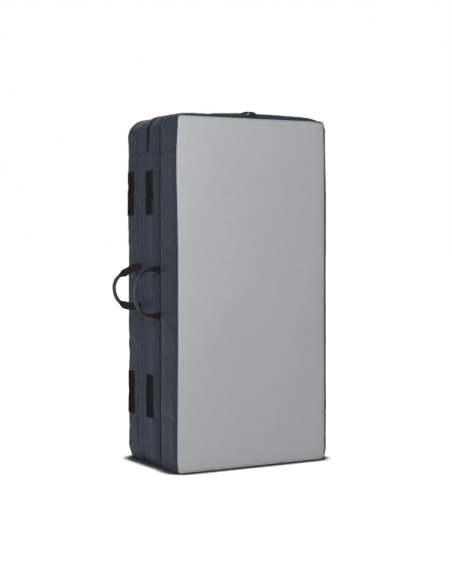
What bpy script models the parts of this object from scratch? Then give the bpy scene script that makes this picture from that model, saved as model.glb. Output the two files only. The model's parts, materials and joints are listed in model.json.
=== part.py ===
"""A three-panel bouldering pad, folded shut and standing on one end.

+Z is up. The origin is the middle of the middle panel's lower edge, on the ground. The front face looks
along -Y. The rear panel folds out about a line down the left side (-X) and the front panel about a line
down the right side (+X). All lengths are in metres.
"""

import math

import bmesh
import bpy
from mathutils import Matrix, Vector

# Panels: the seam lines are this wide and high, and three pitches make the closed pad
PANEL_WIDTH = 0.550
PANEL_HEIGHT = 1.120
PANEL_PITCH = 0.127
PANEL_GAP = 0.001
SEAM_RADIUS = 0.013
SIDE_CROWN = 0.006
TOP_CROWN = 0.010
CORNER_DRAW_SHARE = 0.5
CORNER_DRAW_POWER = 8

# The rear panel's rounded rear edges
ROUND_DEPTH = 0.040
SIDE_ROUND = 0.040
END_ROUND = 0.020

# Fabric and foam
FABRIC = 0.0012
SEAM_GAP = 0.0006
FOAM_CLEARANCE = 0.0006
FIRM_FOAM = 0.014
FOAM_GAP = 0.0004
SEAT = 0.0003

# Fabric hinges: the fold lines stand this far out from the panels' side seams
HINGE_STAND = 0.010
HINGE_FABRIC = 0.001
HINGE_HALF_GAP = 0.00015
HINGE_END_GAP = 0.0011
HINGE_END_INSET = 0.014

# Webbing
WEBBING_WIDTH = 0.025
WEBBING_THICK = 0.0016
BELT_WIDTH = 0.038

# Hook-and-loop strips
STRIP_WIDTH = 0.050
STRIP_HEIGHT = 0.141
STRIP_THICK = 0.0016
STRIP_TOP_OFFSET = 0.168
STRIP_FOOT_OFFSET = 0.155
STRIP_SEAM_OFFSET = 0.038
STRIP_EDGE_OFFSET = 0.029

# Handles
REAR_HANDLE_LIFT = 0.021
FRONT_HANDLE_LIFT = 0.006
HANDLE_REACH = 0.103
REAR_HANDLE_SPAN = 0.130
FRONT_HANDLE_SPAN = 0.149
HANDLE_CURVE_POWER = 0.6
FRONT_HANDLE_TILT = math.radians(12)
HANDLE_END = 0.0008
BEAD_SHARE = 0.2
HANDLE_CORE_WIDTH = 0.0060
HANDLE_CORE_THICK = 0.0030
GRIP_WIDTH = 0.014
GRIP_THICK = 0.0076
GRIP_WALL = 0.0016
GRIP_HALF_ARC = math.radians(49)
TAB_START_ARC = math.radians(78)
CORE_START_ARC = math.radians(52)

# Zip in the middle panel's band
ZIP_LINE = 0.014
ZIP_WIDTH = 0.012
ZIP_THICK = 0.0014
ZIP_DROP = 0.113
SLIDER_LENGTH = 0.013
SLIDER_WIDTH = 0.010
SLIDER_HEIGHT = 0.0042
SLIDER_EDGE = 0.0006
SLIDER_SIDE_OFFSET = 0.085
BRIDGE_LENGTH = 0.004
BRIDGE_WIDTH = 0.003
BRIDGE_HEIGHT = 0.0036
PULL_LENGTH = 0.026
PULL_WIDTH = 0.009
PULL_THICK = 0.0016
PULL_EYE_CLEARANCE = 0.0005
PULL_END_CLEARANCE = 0.0010

# Side-release buckles
BUCKLE_LENGTH = 0.034
BUCKLE_THICK = 0.011
BUCKLE_WALL = 0.0024
BUCKLE_RIM = 0.0036
BUCKLE_EDGE = 0.0012
BUCKLE_DEPTH = 0.025
BUCKLE_CLEARANCE = 0.0005
WINDOW_START = 0.007
WINDOW_LENGTH = 0.012
PLUG_BLOCK = 0.014
PLUG_LIP = 0.0006
PLUG_UNDER = 0.0035
PLUG_OVER = 0.0016
PRONG_WIDTH = 0.0042
PRONG_LENGTH = 0.023
GUIDE_WIDTH = 0.005
GUIDE_LENGTH = 0.020
WEBBING_SLOT_CLEARANCE = 0.0004

# Top closure
CLOSURE_LIFT = 0.0062
CLOSURE_RISE = 0.030
CLOSURE_START_LIFT = 0.0006
CLOSURE_MOUTH = 0.006

# Shoulder harness on the rear face, with its heights as shares of the panels' height
PAD_THICK = 0.012
PAD_WIDTH = 0.062
PAD_TOP_SHARE = 0.826
PAD_FOOT_SHARE = 0.446
PAD_TOP_X = 0.050
PAD_BOW_X = 0.105
PAD_FOOT_X = 0.092
PAD_END_WIDTH_SHARE = 0.62
PAD_END_THICK_SHARE = 0.55
PAD_NARROWING_SHARE = 0.35
PAD_THINNING_SHARE = 0.2
YOKE_WIDTH = 0.230
YOKE_HEIGHT = 0.080
YOKE_THICK = 0.0016
YOKE_GAP = 0.0005
LOCK_SIDE = 0.0045
LOCK_LENGTH = 0.026
LOCK_THICK = 0.006
LOCK_BAR = 0.006
LOCK_EDGE = 0.001
STRAP_FOOT_SHARE = 0.314
STRAP_SIDE_OFFSET = 0.057

# Waist belt on the rear face
BELT_SHARE = 0.214
BELT_SIDE_OFFSET = 0.030
BELT_RAMP = 0.030
BELT_SEWN = 0.030

# One overrun serves every cut
OVERRUN = 0.002

# Facet counts and the angle above which an edge stays sharp
SMOOTH_ANGLE = math.radians(35)
BASE_CUTS = 4
TOP_CUTS = 8
SIDE_CUTS = 8
CORNER_CUTS = 3
CROWN_ROWS = 8
CROWN_ROWS_BEFORE_ROUND = 5
ROUND_ROWS = 5
HANDLE_STEPS = 26
GRIP_SIDES = 10
PAD_STEPS = 14
STRIP_STEPS = 3
STRAP_ARC_STEPS = 6

HALF_WIDTH = PANEL_WIDTH / 2
HALF_HEIGHT = PANEL_HEIGHT / 2
HALF_DEPTH = (PANEL_PITCH - PANEL_GAP) / 2
LEFT_FOLD = Vector((-HALF_WIDTH - HINGE_STAND, PANEL_PITCH / 2, 0))
RIGHT_FOLD = Vector((HALF_WIDTH + HINGE_STAND, -PANEL_PITCH / 2, 0))
REAR_FACE = PANEL_PITCH + HALF_DEPTH
REAR_FACE_HALF_WIDTH = HALF_WIDTH - SIDE_ROUND
STRAP_LEVEL = PANEL_HEIGHT + TOP_CROWN + CLOSURE_LIFT
SLIDER_PLACE = HALF_WIDTH - SLIDER_SIDE_OFFSET
PAD_TOP = PANEL_HEIGHT * PAD_TOP_SHARE
PAD_FOOT = PANEL_HEIGHT * PAD_FOOT_SHARE
BELT_PLACE = PANEL_HEIGHT * BELT_SHARE
BELT_REACH = REAR_FACE_HALF_WIDTH - BELT_SIDE_OFFSET

# Base colour, roughness and metallic value of each finish
FINISHES = {
    "grey_nylon": ((0.44, 0.44, 0.45), 0.62, 0.0),
    "navy_nylon": ((0.045, 0.052, 0.072), 0.60, 0.0),
    "black_webbing": ((0.014, 0.014, 0.014), 0.75, 0.0),
    "hook_and_loop": ((0.012, 0.012, 0.013), 0.95, 0.0),
    "navy_wrap": ((0.070, 0.080, 0.110), 0.65, 0.0),
    "black_plastic": ((0.020, 0.020, 0.021), 0.42, 0.0),
    "firm_foam": ((0.10, 0.10, 0.11), 0.90, 0.0),
    "soft_foam": ((0.62, 0.57, 0.40), 0.95, 0.0),
    "zip_coil": ((0.012, 0.012, 0.013), 0.50, 0.0),
    "dark_metal": ((0.060, 0.060, 0.063), 0.35, 1.0),
}

# The share of a shoulder pad's half width and thickness at each corner of its cross-section
PAD_SECTION_SHARES = [
    (-1.0, 0.30),
    (-0.82, 0.84),
    (-0.35, 1.0),
    (0.35, 1.0),
    (0.82, 0.84),
    (1.0, 0.30),
    (0.86, 0.0),
    (-0.86, 0.0),
]


def clear_scene():
    """Remove every object of the starting scene."""
    for thing in list(bpy.data.objects):
        bpy.data.objects.remove(thing)


def new_collection(name):
    collection = bpy.data.collections.new(name)
    bpy.context.scene.collection.children.link(collection)
    return collection


def make_body(collection, name, place):
    """An empty on a joint's axis, which carries the pieces that move together."""
    empty = bpy.data.objects.new(name, None)
    empty.location = place
    empty.empty_display_size = HINGE_STAND
    collection.objects.link(empty)
    return empty


def dress(thing, finish):
    """Give the object a material of its own in the named finish."""
    colour, roughness, metallic = FINISHES[finish]
    material = bpy.data.materials.new(thing.name + "_" + finish)
    material.use_nodes = True
    shader = material.node_tree.nodes["Principled BSDF"]
    shader.inputs["Base Color"].default_value = (*colour, 1)
    shader.inputs["Roughness"].default_value = roughness
    shader.inputs["Metallic"].default_value = metallic
    material.diffuse_color = (*colour, 1)
    thing.data.materials.clear()
    thing.data.materials.append(material)


def place_piece(pad, name, data, body, finish, location=(0, 0, 0), turn=(0, 0, 0)):
    """Make an object of the data, stand it in its place and let its body carry it."""
    thing = bpy.data.objects.new(name, data)
    pad["parts"].objects.link(thing)
    thing.location = location
    thing.rotation_euler = turn
    carrier = pad["bodies"][body]
    thing.parent = carrier
    thing.matrix_parent_inverse = Matrix.Translation(-carrier.location)
    dress(thing, finish)
    return thing


def finished_mesh(name, shape):
    """Turn a bmesh into a mesh that is shaded smooth apart from its sharp edges."""
    mesh = bpy.data.meshes.new(name)
    shape.to_mesh(mesh)
    shape.free()
    mesh.shade_smooth()
    mesh.set_sharp_from_angle(angle=SMOOTH_ANGLE)
    return mesh


def loft(name, sections, capped):
    """Skin through loops of equally many points, anticlockwise as seen from before the first one."""
    shape = bmesh.new()
    loops = [[shape.verts.new(point) for point in section] for section in sections]
    for first, second in zip(loops, loops[1:]):
        for here in range(len(first)):
            after = (here + 1) % len(first)
            shape.faces.new((first[after], first[here], second[here], second[after]))
    if capped:
        shape.faces.new(loops[0])
        shape.faces.new(reversed(loops[-1]))
        bmesh.ops.recalc_face_normals(shape, faces=shape.faces)
    return finished_mesh(name, shape)


def block(name, size, edge=0):
    """A box of the given size about its middle, with its edges rounded where an edge radius is given."""
    shape = bmesh.new()
    bmesh.ops.create_cube(shape, size=1)
    bmesh.ops.scale(shape, vec=size, verts=shape.verts)
    if edge:
        bmesh.ops.bevel(shape, geom=shape.edges, offset=edge, segments=2, profile=0.5, affect="EDGES")
    return finished_mesh(name, shape)


def ribbon_mesh(name, path, across):
    """An open strip: the path, swept both ways from its line by the vector across."""
    shape = bmesh.new()
    near = [shape.verts.new(point - across) for point in path]
    edges = [shape.edges.new(pair) for pair in zip(near, near[1:])]
    swept = bmesh.ops.extrude_edge_only(shape, edges=edges)
    moved = [item for item in swept["geom"] if isinstance(item, bmesh.types.BMVert)]
    bmesh.ops.translate(shape, verts=moved, vec=2 * across)
    return finished_mesh(name, shape)


def thicken(thing, thickness, side):
    """Solidify: side 1 grows outwards, -1 inwards and 0 both ways."""
    wall = thing.modifiers.new("thickness", "SOLIDIFY")
    wall.thickness = thickness
    wall.offset = side
    wall.use_even_offset = True


def cut(pad, thing, name, size, location, operation="DIFFERENCE"):
    """Cut a box out of the thing, or join one to it. The box is given in the thing's own frame."""
    cutter = bpy.data.objects.new(name, block(name, size))
    pad["cutters"].objects.link(cutter)
    cutter.hide_render = True
    cutter.display_type = "WIRE"
    cutter.parent = thing
    cutter.location = location
    change = thing.modifiers.new(name, "BOOLEAN")
    change.operation = operation
    change.solver = "EXACT"
    change.object = cutter


# Panel shape

def fade(share):
    """How much of the crown is left at this share of the way from an edge's middle to its corner."""
    return 1 - CORNER_DRAW_SHARE * abs(share) ** CORNER_DRAW_POWER


def seam_outline():
    """Points (x, z) round a panel's seam line, anticlockwise as seen from the front."""
    straight_x = HALF_WIDTH - SEAM_RADIUS
    straight_z = HALF_HEIGHT - SEAM_RADIUS
    # Each corner's centre and first angle, and the cuts along the edge that follows it
    corners = [
        (straight_x, -straight_z, -math.pi / 2, SIDE_CUTS),
        (straight_x, straight_z, 0, TOP_CUTS),
        (-straight_x, straight_z, math.pi / 2, SIDE_CUTS),
        (-straight_x, -straight_z, math.pi, BASE_CUTS),
    ]
    points = []
    for index, (x, z, start, cuts) in enumerate(corners):
        for step in range(CORNER_CUTS + 1):
            angle = start + step / CORNER_CUTS * math.pi / 2
            points.append((x + SEAM_RADIUS * math.cos(angle), z + SEAM_RADIUS * math.sin(angle)))
        after_x, after_z, after_start, _ = corners[(index + 1) % len(corners)]
        last = Vector(points[-1])
        first = Vector(
            (after_x + SEAM_RADIUS * math.cos(after_start), after_z + SEAM_RADIUS * math.sin(after_start))
        )
        points += [tuple(last.lerp(first, step / cuts)) for step in range(1, cuts)]
    return [(x, z + HALF_HEIGHT) for x, z in points]


def panel_rows(rounded, inset=0):
    """Rows (y, swell, side inset, end inset) from a panel's front seam to its rear one.

    The swell is the share of the crown there. The insets draw the row in from the seam line. A rounded
    panel's rear edges turn in along a quarter round, and an inset row keeps that round's centre.
    """
    if rounded:
        straight = HALF_DEPTH - ROUND_DEPTH
        cuts = CROWN_ROWS_BEFORE_ROUND
    else:
        straight = HALF_DEPTH
        cuts = CROWN_ROWS
    span = straight + HALF_DEPTH
    rows = []
    for step in range(cuts + 1):
        y = -HALF_DEPTH + span * step / cuts
        rows.append((y, 1 - (y / HALF_DEPTH) ** 2, inset, inset))
    for step in range(1, ROUND_ROWS + 1 if rounded else 1):
        angle = step / ROUND_ROWS * math.pi / 2
        y = straight + (ROUND_DEPTH - inset) * math.sin(angle)
        swell = 1 - (y / HALF_DEPTH) ** 2
        side = SIDE_ROUND - (SIDE_ROUND - inset) * math.cos(angle)
        end = END_ROUND - (END_ROUND - inset) * math.cos(angle)
        rows.append((y, swell, side, end))
    return rows


def blend_rows(first, second, share):
    return tuple(a + (b - a) * share for a, b in zip(first, second))


def rows_between(rows, measures, start, end):
    """The stretch of rows whose measure lies from start to end, with rows added at both ends."""
    found = []
    for (here, low), (after, high) in zip(zip(rows, measures), zip(rows[1:], measures[1:])):
        if low < start <= high:
            found.append(blend_rows(here, after, (start - low) / (high - low)))
        if start < high < end:
            found.append(after)
        if low < end <= high:
            found.append(blend_rows(here, after, (end - low) / (high - low)))
    return found


def row_point(x, z, row):
    """The point on a panel's skin that belongs to a point of its seam line and a row."""
    y, swell, side_inset, end_inset = row
    side_crown = SIDE_CROWN * swell * fade((z - HALF_HEIGHT) / HALF_HEIGHT)
    top_crown = TOP_CROWN * swell * fade(x / HALF_WIDTH)
    across = x * (1 + (side_crown - side_inset) / HALF_WIDTH)
    up = HALF_HEIGHT + (z - HALF_HEIGHT) * (1 - end_inset / HALF_HEIGHT)
    return Vector((across, y, up + top_crown * z / PANEL_HEIGHT))


def row_loop(row):
    return [row_point(x, z, row) for x, z in seam_outline()]


def panel_band(pad, panel, body, place, rounded):
    """The band of fabric round a panel, between the seams of its two face sheets."""
    rows = panel_rows(rounded)
    start = -HALF_DEPTH + FABRIC + SEAM_GAP
    end = HALF_DEPTH if rounded else HALF_DEPTH - FABRIC - SEAM_GAP
    depths = [row[0] for row in rows]
    sections = [row_loop(row) for row in rows_between(rows, depths, start, end)]
    name = panel + "_band"
    thing = place_piece(pad, name, loft(name, sections, False), body, "navy_nylon", place)
    thicken(thing, FABRIC, -1)


def face_sheet(pad, name, body, place, row, depth, finish):
    """A flat sheet on the outline of a row, as a filled curve that is turned upright."""
    outline = bpy.data.curves.new(name, "CURVE")
    outline.dimensions = "2D"
    outline.fill_mode = "BOTH"
    outline.extrude = FABRIC / 2
    points = row_loop(row)
    spline = outline.splines.new("POLY")
    spline.points.add(len(points) - 1)
    for corner, point in zip(spline.points, points):
        corner.co = (point.x, point.z, 0, 1)
    spline.use_cyclic_u = True
    location = Vector(place) + Vector((0, depth, 0))
    place_piece(pad, name, outline, body, finish, location, (math.pi / 2, 0, 0))


def face_sheets(pad, panel, body, place, rounded, finishes):
    """The front and rear face sheets of a panel. A rounded panel's rear one lies inside its round."""
    front = (-HALF_DEPTH, 0, 0, 0)
    if rounded:
        rear = (HALF_DEPTH, 0, SIDE_ROUND + SEAM_GAP, END_ROUND + SEAM_GAP)
    else:
        rear = (HALF_DEPTH, 0, 0, 0)
    sheet = HALF_DEPTH - FABRIC / 2
    face_sheet(pad, panel + "_front_face", body, place, front, -sheet, finishes[0])
    face_sheet(pad, panel + "_rear_face", body, place, rear, sheet, finishes[1])


def foam_layers(pad, panel, body, place, rounded):
    """A soft core between two firm sheets, which fill the panel."""
    inset = FABRIC + FOAM_CLEARANCE
    rows = panel_rows(rounded, inset)
    depths = [row[0] for row in rows]
    outer = HALF_DEPTH - FABRIC - FOAM_CLEARANCE
    inner = outer - FIRM_FOAM
    layers = [
        ("_front_foam", -outer, -inner, "firm_foam"),
        ("_core_foam", -inner + FOAM_GAP, inner - FOAM_GAP, "soft_foam"),
        ("_rear_foam", inner, outer, "firm_foam"),
    ]
    for suffix, start, end, finish in layers:
        name = panel + suffix
        sections = [row_loop(row) for row in rows_between(rows, depths, start, end)]
        place_piece(pad, name, loft(name, sections, True), body, finish, place)


def make_panel(pad, panel, depth, rounded, finishes):
    place = (0, depth, 0)
    panel_band(pad, panel, panel, place, rounded)
    face_sheets(pad, panel, panel, place, rounded, finishes)
    foam_layers(pad, panel, panel, place, rounded)


# Hook-and-loop strips

def row_lengths(rows):
    """The length along a panel's side from its front seam to each row."""
    lengths = [0]
    for here, after in zip(rows, rows[1:]):
        step = Vector((after[0] - here[0], after[2] - here[2])).length
        lengths.append(lengths[-1] + step)
    return lengths


def offset_section(points, near, far):
    """A closed section that follows a line of points in plan, from near to far off it, away from +X."""
    inner = []
    outer = []
    for index, point in enumerate(points):
        before = points[max(index - 1, 0)]
        after = points[min(index + 1, len(points) - 1)]
        along = (after - before).normalized()
        away = Vector((-along.y, along.x, 0))
        inner.append(point + away * near)
        outer.append(point + away * far)
    return inner + outer[::-1]


def side_strip(pad, name, panel, depth, rounded, side, start, foot):
    """A strip on a panel's side, which starts this far along from the side's first seam.

    That seam is the front one on a left side. A right side is a left one turned half round about Z.
    """
    rows = panel_rows(rounded)
    lengths = row_lengths(rows)
    stretch = rows_between(rows, lengths, start, start + STRIP_WIDTH)
    sections = []
    for step in range(STRIP_STEPS + 1):
        z = foot + STRIP_HEIGHT * step / STRIP_STEPS
        line = [row_point(-HALF_WIDTH, z, row) for row in stretch]
        sections.append(offset_section(line, SEAT, SEAT + STRIP_THICK))
    turn = (0, 0, 0 if side < 0 else math.pi)
    place_piece(pad, name, loft(name, sections, True), panel, "hook_and_loop", (0, depth, 0), turn)


def side_strips(pad):
    """Two strips, upper and lower, on each side edge that lies next to a fold line."""
    feet = {"lower": STRIP_FOOT_OFFSET, "upper": PANEL_HEIGHT - STRIP_TOP_OFFSET - STRIP_HEIGHT}
    length = 2 * HALF_DEPTH
    middle_start = length - STRIP_SEAM_OFFSET - STRIP_WIDTH
    outer_start = length - STRIP_EDGE_OFFSET - STRIP_WIDTH
    # Panel, depth, rounded, side, start along the side
    edges = [
        ("rear_panel", "left", PANEL_PITCH, True, -1, outer_start),
        ("middle_panel", "left", 0, False, -1, middle_start),
        ("middle_panel", "right", 0, False, 1, middle_start),
        ("front_panel", "right", -PANEL_PITCH, False, 1, outer_start),
    ]
    for panel, side_name, depth, rounded, side, start in edges:
        for level, foot in feet.items():
            name = panel + "_strip_" + side_name + "_" + level
            side_strip(pad, name, panel, depth, rounded, side, start, foot)


# Fabric hinges

def hinge_leaf(pad, name, body, fold, inward, across):
    """One leaf of a fabric hinge, from a panel's side seam out to the fold line.

    inward is the sign of X from the fold line to the panel, and across the sign of Y to the leaf's side.
    """
    length = HINGE_STAND - SEAT - HINGE_END_GAP
    size = (length, HINGE_FABRIC, PANEL_HEIGHT - 2 * HINGE_END_INSET)
    middle = Vector(
        (
            inward * (HINGE_END_GAP + length / 2),
            across * (HINGE_HALF_GAP + HINGE_FABRIC / 2),
            HALF_HEIGHT,
        )
    )
    place_piece(pad, name, block(name, size), body, "navy_nylon", fold + middle)


def fabric_hinges(pad):
    hinge_leaf(pad, "left_hinge_middle_leaf", "middle_panel", LEFT_FOLD, 1, -1)
    hinge_leaf(pad, "left_hinge_rear_leaf", "rear_panel", LEFT_FOLD, 1, 1)
    hinge_leaf(pad, "right_hinge_middle_leaf", "middle_panel", RIGHT_FOLD, -1, 1)
    hinge_leaf(pad, "right_hinge_front_leaf", "front_panel", RIGHT_FOLD, -1, -1)


# Handles

def handle_point(reach, span, arc):
    """A point on the handle's middle line: straight out at its ends, bowed at its grip."""
    out = reach * max(math.cos(arc), 0) ** HANDLE_CURVE_POWER
    return Vector((-out, 0, span / 2 * math.sin(arc)))


def smooth_share(value, start, end):
    share = min(max((value - start) / (end - start), 0), 1)
    return share * share * (3 - 2 * share)


def handle_frames(reach, span):
    """(arc, point, direction across the handle in its plane) at even steps from foot to top."""
    arcs = [math.pi * (step / HANDLE_STEPS - 0.5) for step in range(HANDLE_STEPS + 1)]
    points = [handle_point(reach, span, arc) for arc in arcs]
    frames = [(arcs[0], points[0], Vector((0, 0, -1)))]
    for before, arc, point, after in zip(points, arcs[1:], points[1:], points[2:]):
        along = (after - before).normalized()
        frames.append((arc, point, Vector((-along.z, 0, along.x))))
    frames.append((arcs[-1], points[-1], Vector((0, 0, 1))))
    return frames


def handle_bead(section):
    """The thin end that the seam holds, past the axis by no more than the webbing's half thickness."""
    middle = sum(section, Vector()) / len(section)
    bead = []
    for corner in section:
        thinner = (middle.y - corner.y) * (1 - BEAD_SHARE)
        bead.append(corner + Vector((HANDLE_END, thinner, 0)))
    return bead


def handle_webbing(frames):
    """Sections of the webbing: upright tabs at both ends, folded to a narrow core inside the grip."""
    sections = []
    for arc, point, across in frames:
        folded = 1 - smooth_share(abs(arc), CORE_START_ARC, TAB_START_ARC)
        half_width = (WEBBING_WIDTH + (HANDLE_CORE_WIDTH - WEBBING_WIDTH) * folded) / 2
        half_thick = (2 * HANDLE_END + (HANDLE_CORE_THICK - 2 * HANDLE_END) * folded) / 2
        wide = across * half_width
        deep = Vector((0, half_thick, 0))
        sections.append([point - wide - deep, point + wide - deep, point + wide + deep, point - wide + deep])
    return [handle_bead(sections[0])] + sections + [handle_bead(sections[-1])]


def grip_sections(frames):
    """Rings round the stretch of webbing that the hand holds."""
    sections = []
    for arc, point, across in frames:
        if abs(arc) > GRIP_HALF_ARC:
            continue
        ring = []
        for side in range(GRIP_SIDES):
            angle = 2 * math.pi * side / GRIP_SIDES
            wide = across * (GRIP_WIDTH / 2 * math.cos(angle))
            ring.append(point + wide + Vector((0, GRIP_THICK / 2 * math.sin(angle), 0)))
        sections.append(ring)
    return sections


def grip_tube(name, sections):
    """An open tube whose faces point out, whichever way its sections run."""
    mesh = loft(name, sections, False)
    shape = bmesh.new()
    shape.from_mesh(mesh)
    shape.faces.ensure_lookup_table()
    middle = sum((vertex.co for vertex in shape.verts), Vector()) / len(shape.verts)
    outermost = min(shape.faces, key=lambda face: (face.calc_center_median() - middle).x)
    if outermost.normal.x > 0:
        bmesh.ops.reverse_faces(shape, faces=shape.faces)
    shape.to_mesh(mesh)
    shape.free()
    return mesh


def make_handle(pad, body, span, reach, lift, tilt):
    place = pad["bodies"][body].location + Vector((0, 0, HALF_HEIGHT + lift))
    turn = (0, 0, tilt)
    frames = handle_frames(reach, span)
    webbing = body + "_webbing"
    place_piece(pad, webbing, loft(webbing, handle_webbing(frames), True), body, "black_webbing", place, turn)
    grip = body + "_grip"
    thing = place_piece(pad, grip, grip_tube(grip, grip_sections(frames)), body, "navy_wrap", place, turn)
    thicken(thing, GRIP_WALL, -1)


# Zip

def zip_top():
    """The highest level of the zip's upper face under the slider's inner edge, wherever it runs."""
    inner = ZIP_LINE - SLIDER_WIDTH / 2
    swell = 1 - (inner / HALF_DEPTH) ** 2
    return row_point(0, PANEL_HEIGHT, (inner, swell, 0, 0)).z + SEAT + ZIP_THICK


def zip_tape(pad):
    """The zip's tape and coil, up the left side, over the top and down the right side."""
    rows = panel_rows(False)
    depths = [row[0] for row in rows]
    across = rows_between(rows, depths, ZIP_LINE - ZIP_WIDTH / 2, ZIP_LINE + ZIP_WIDTH / 2)
    lowest = PANEL_HEIGHT - ZIP_DROP
    outline = [point for point in seam_outline() if point[1] > lowest]
    # The outline runs up the right side, over the top and down the left one
    route = [(HALF_WIDTH, lowest)] + outline + [(-HALF_WIDTH, lowest)]
    sections = []
    for index, (x, z) in enumerate(route):
        before = Vector(route[max(index - 1, 0)])
        after = Vector(route[min(index + 1, len(route) - 1)])
        along = (after - before).normalized()
        away = Vector((along.y, 0, -along.x))
        skin = [row_point(x, z, row) for row in across]
        under = [point + away * SEAT for point in skin]
        over = [point + away * (SEAT + ZIP_THICK) for point in skin]
        sections.append(under + over[::-1])
    place_piece(pad, "zip_tape", loft("zip_tape", sections, True), "middle_panel", "zip_coil")


def zip_slider(pad):
    """The slider over the coil, with the bridge that the pull's eye turns on."""
    foot = zip_top() + SEAT
    size = (SLIDER_LENGTH, SLIDER_WIDTH, SLIDER_HEIGHT)
    middle = (SLIDER_PLACE, ZIP_LINE, foot + SLIDER_HEIGHT / 2)
    thing = place_piece(
        pad, "zip_slider", block("zip_slider", size, SLIDER_EDGE), "zip_slider", "dark_metal", middle
    )
    bridge = (BRIDGE_LENGTH, BRIDGE_WIDTH, BRIDGE_HEIGHT + SLIDER_HEIGHT / 2)
    cut(pad, thing, "slider_bridge", bridge, (0, 0, bridge[2] / 2), "UNION")
    return foot + SLIDER_HEIGHT


def zip_pull(pad, slider_top):
    """The pull lies along the zip. Its fork holds the bridge from both sides."""
    axis_height = slider_top + BRIDGE_HEIGHT / 2
    place = Vector((SLIDER_PLACE, ZIP_LINE, axis_height))
    pad["bodies"]["zip_pull"].location = place
    size = (PULL_LENGTH, PULL_WIDTH, PULL_THICK)
    # The fork's ends stop a half thickness past the axis, so that they clear the slider as they turn
    behind = PULL_THICK / 2
    middle = place + Vector((PULL_LENGTH / 2 - behind, 0, 0))
    thing = place_piece(pad, "zip_pull", block("zip_pull", size), "zip_pull", "black_plastic", middle)
    fork = behind + BRIDGE_LENGTH / 2 + PULL_END_CLEARANCE
    slot = (fork + OVERRUN, BRIDGE_WIDTH + 2 * PULL_EYE_CLEARANCE, PULL_THICK + OVERRUN)
    cut(pad, thing, "pull_fork", slot, ((fork - OVERRUN - PULL_LENGTH) / 2, 0, 0))


def make_zip(pad):
    zip_tape(pad)
    slider_top = zip_slider(pad)
    zip_pull(pad, slider_top)


# Side-release buckles: in their own frame the plug leaves along +Y and the webbing's middle is at zero

def buckle_width(webbing):
    return webbing + 2 * (BUCKLE_WALL + BUCKLE_RIM)


def webbing_slot(webbing, length):
    side = 2 * WEBBING_SLOT_CLEARANCE
    return (webbing + side, length, WEBBING_THICK + side)


def plug_slot_lift():
    """How far above the buckle's middle the webbing runs through the plug, so that it clears the prongs."""
    prong_top = BUCKLE_THICK / 2 - BUCKLE_WALL - BUCKLE_CLEARANCE
    return prong_top + 2 * WEBBING_SLOT_CLEARANCE + WEBBING_THICK / 2


def buckle_socket(pad, name, body, webbing, place, turn):
    """The hollow half: open where the plug goes in, with a window in each side for a prong."""
    width = buckle_width(webbing)
    size = (width, BUCKLE_LENGTH, BUCKLE_THICK)
    thing = place_piece(pad, name, block(name, size, BUCKLE_EDGE), body, "black_plastic", place, turn)
    thing.data.transform(Matrix.Translation((0, -BUCKLE_LENGTH / 2, 0)))
    hollow = (width - 2 * BUCKLE_WALL, BUCKLE_DEPTH + OVERRUN, BUCKLE_THICK - 2 * BUCKLE_WALL)
    cut(pad, thing, name + "_hollow", hollow, (0, (OVERRUN - BUCKLE_DEPTH) / 2, 0))
    window = (width + OVERRUN, WINDOW_LENGTH, hollow[2])
    cut(pad, thing, name + "_window", window, (0, -WINDOW_START - WINDOW_LENGTH / 2, 0))
    depth = BUCKLE_LENGTH - BUCKLE_DEPTH - BUCKLE_WALL
    slot = webbing_slot(webbing, depth + OVERRUN)
    cut(pad, thing, name + "_slot", slot, (0, (depth - OVERRUN) / 2 - BUCKLE_LENGTH, 0))


def buckle_plug(pad, name, body, webbing, place, turn):
    """The plug: a block that runs along the webbing, two prongs and a guide between them."""
    width = buckle_width(webbing)
    lift = plug_slot_lift()
    top = lift + WEBBING_THICK / 2 + WEBBING_SLOT_CLEARANCE + PLUG_OVER
    size = (width, PLUG_BLOCK, top + PLUG_UNDER)
    thing = place_piece(pad, name, block(name, size, BUCKLE_EDGE), body, "black_plastic", place, turn)
    thing.data.transform(Matrix.Translation((0, PLUG_LIP + PLUG_BLOCK / 2, (top - PLUG_UNDER) / 2)))
    thick = BUCKLE_THICK - 2 * BUCKLE_WALL - 2 * BUCKLE_CLEARANCE
    inside = width / 2 - BUCKLE_WALL - BUCKLE_CLEARANCE
    root = PLUG_LIP + PLUG_BLOCK / 2
    prong = (PRONG_WIDTH, PRONG_LENGTH + root, thick)
    for side, label in ((-1, "_left_prong"), (1, "_right_prong")):
        middle = (side * (inside - PRONG_WIDTH / 2), (root - PRONG_LENGTH) / 2, 0)
        cut(pad, thing, name + label, prong, middle, "UNION")
    guide = (GUIDE_WIDTH, GUIDE_LENGTH + root, thick)
    cut(pad, thing, name + "_guide", guide, (0, (root - GUIDE_LENGTH) / 2, 0), "UNION")
    slot = webbing_slot(webbing, PLUG_BLOCK + 2 * OVERRUN)
    cut(pad, thing, name + "_slot", slot, (0, PLUG_LIP + PLUG_BLOCK / 2, lift))


def strap(pad, name, body, path, across):
    """Flat webbing along a path, half as wide as the vector across each way."""
    thing = place_piece(pad, name, ribbon_mesh(name, path, across), body, "black_webbing")
    thicken(thing, WEBBING_THICK, 0)


def arc_path(start, end, steps, plane):
    """Points that leave start steeply and arrive at end level, on a quarter of an ellipse."""
    first, second = plane
    path = []
    for step in range(steps + 1):
        angle = step / steps * math.pi / 2
        point = start.copy()
        point[first] = start[first] + (end[first] - start[first]) * (1 - math.cos(angle))
        point[second] = start[second] + (end[second] - start[second]) * math.sin(angle)
        path.append(point)
    return path


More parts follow.
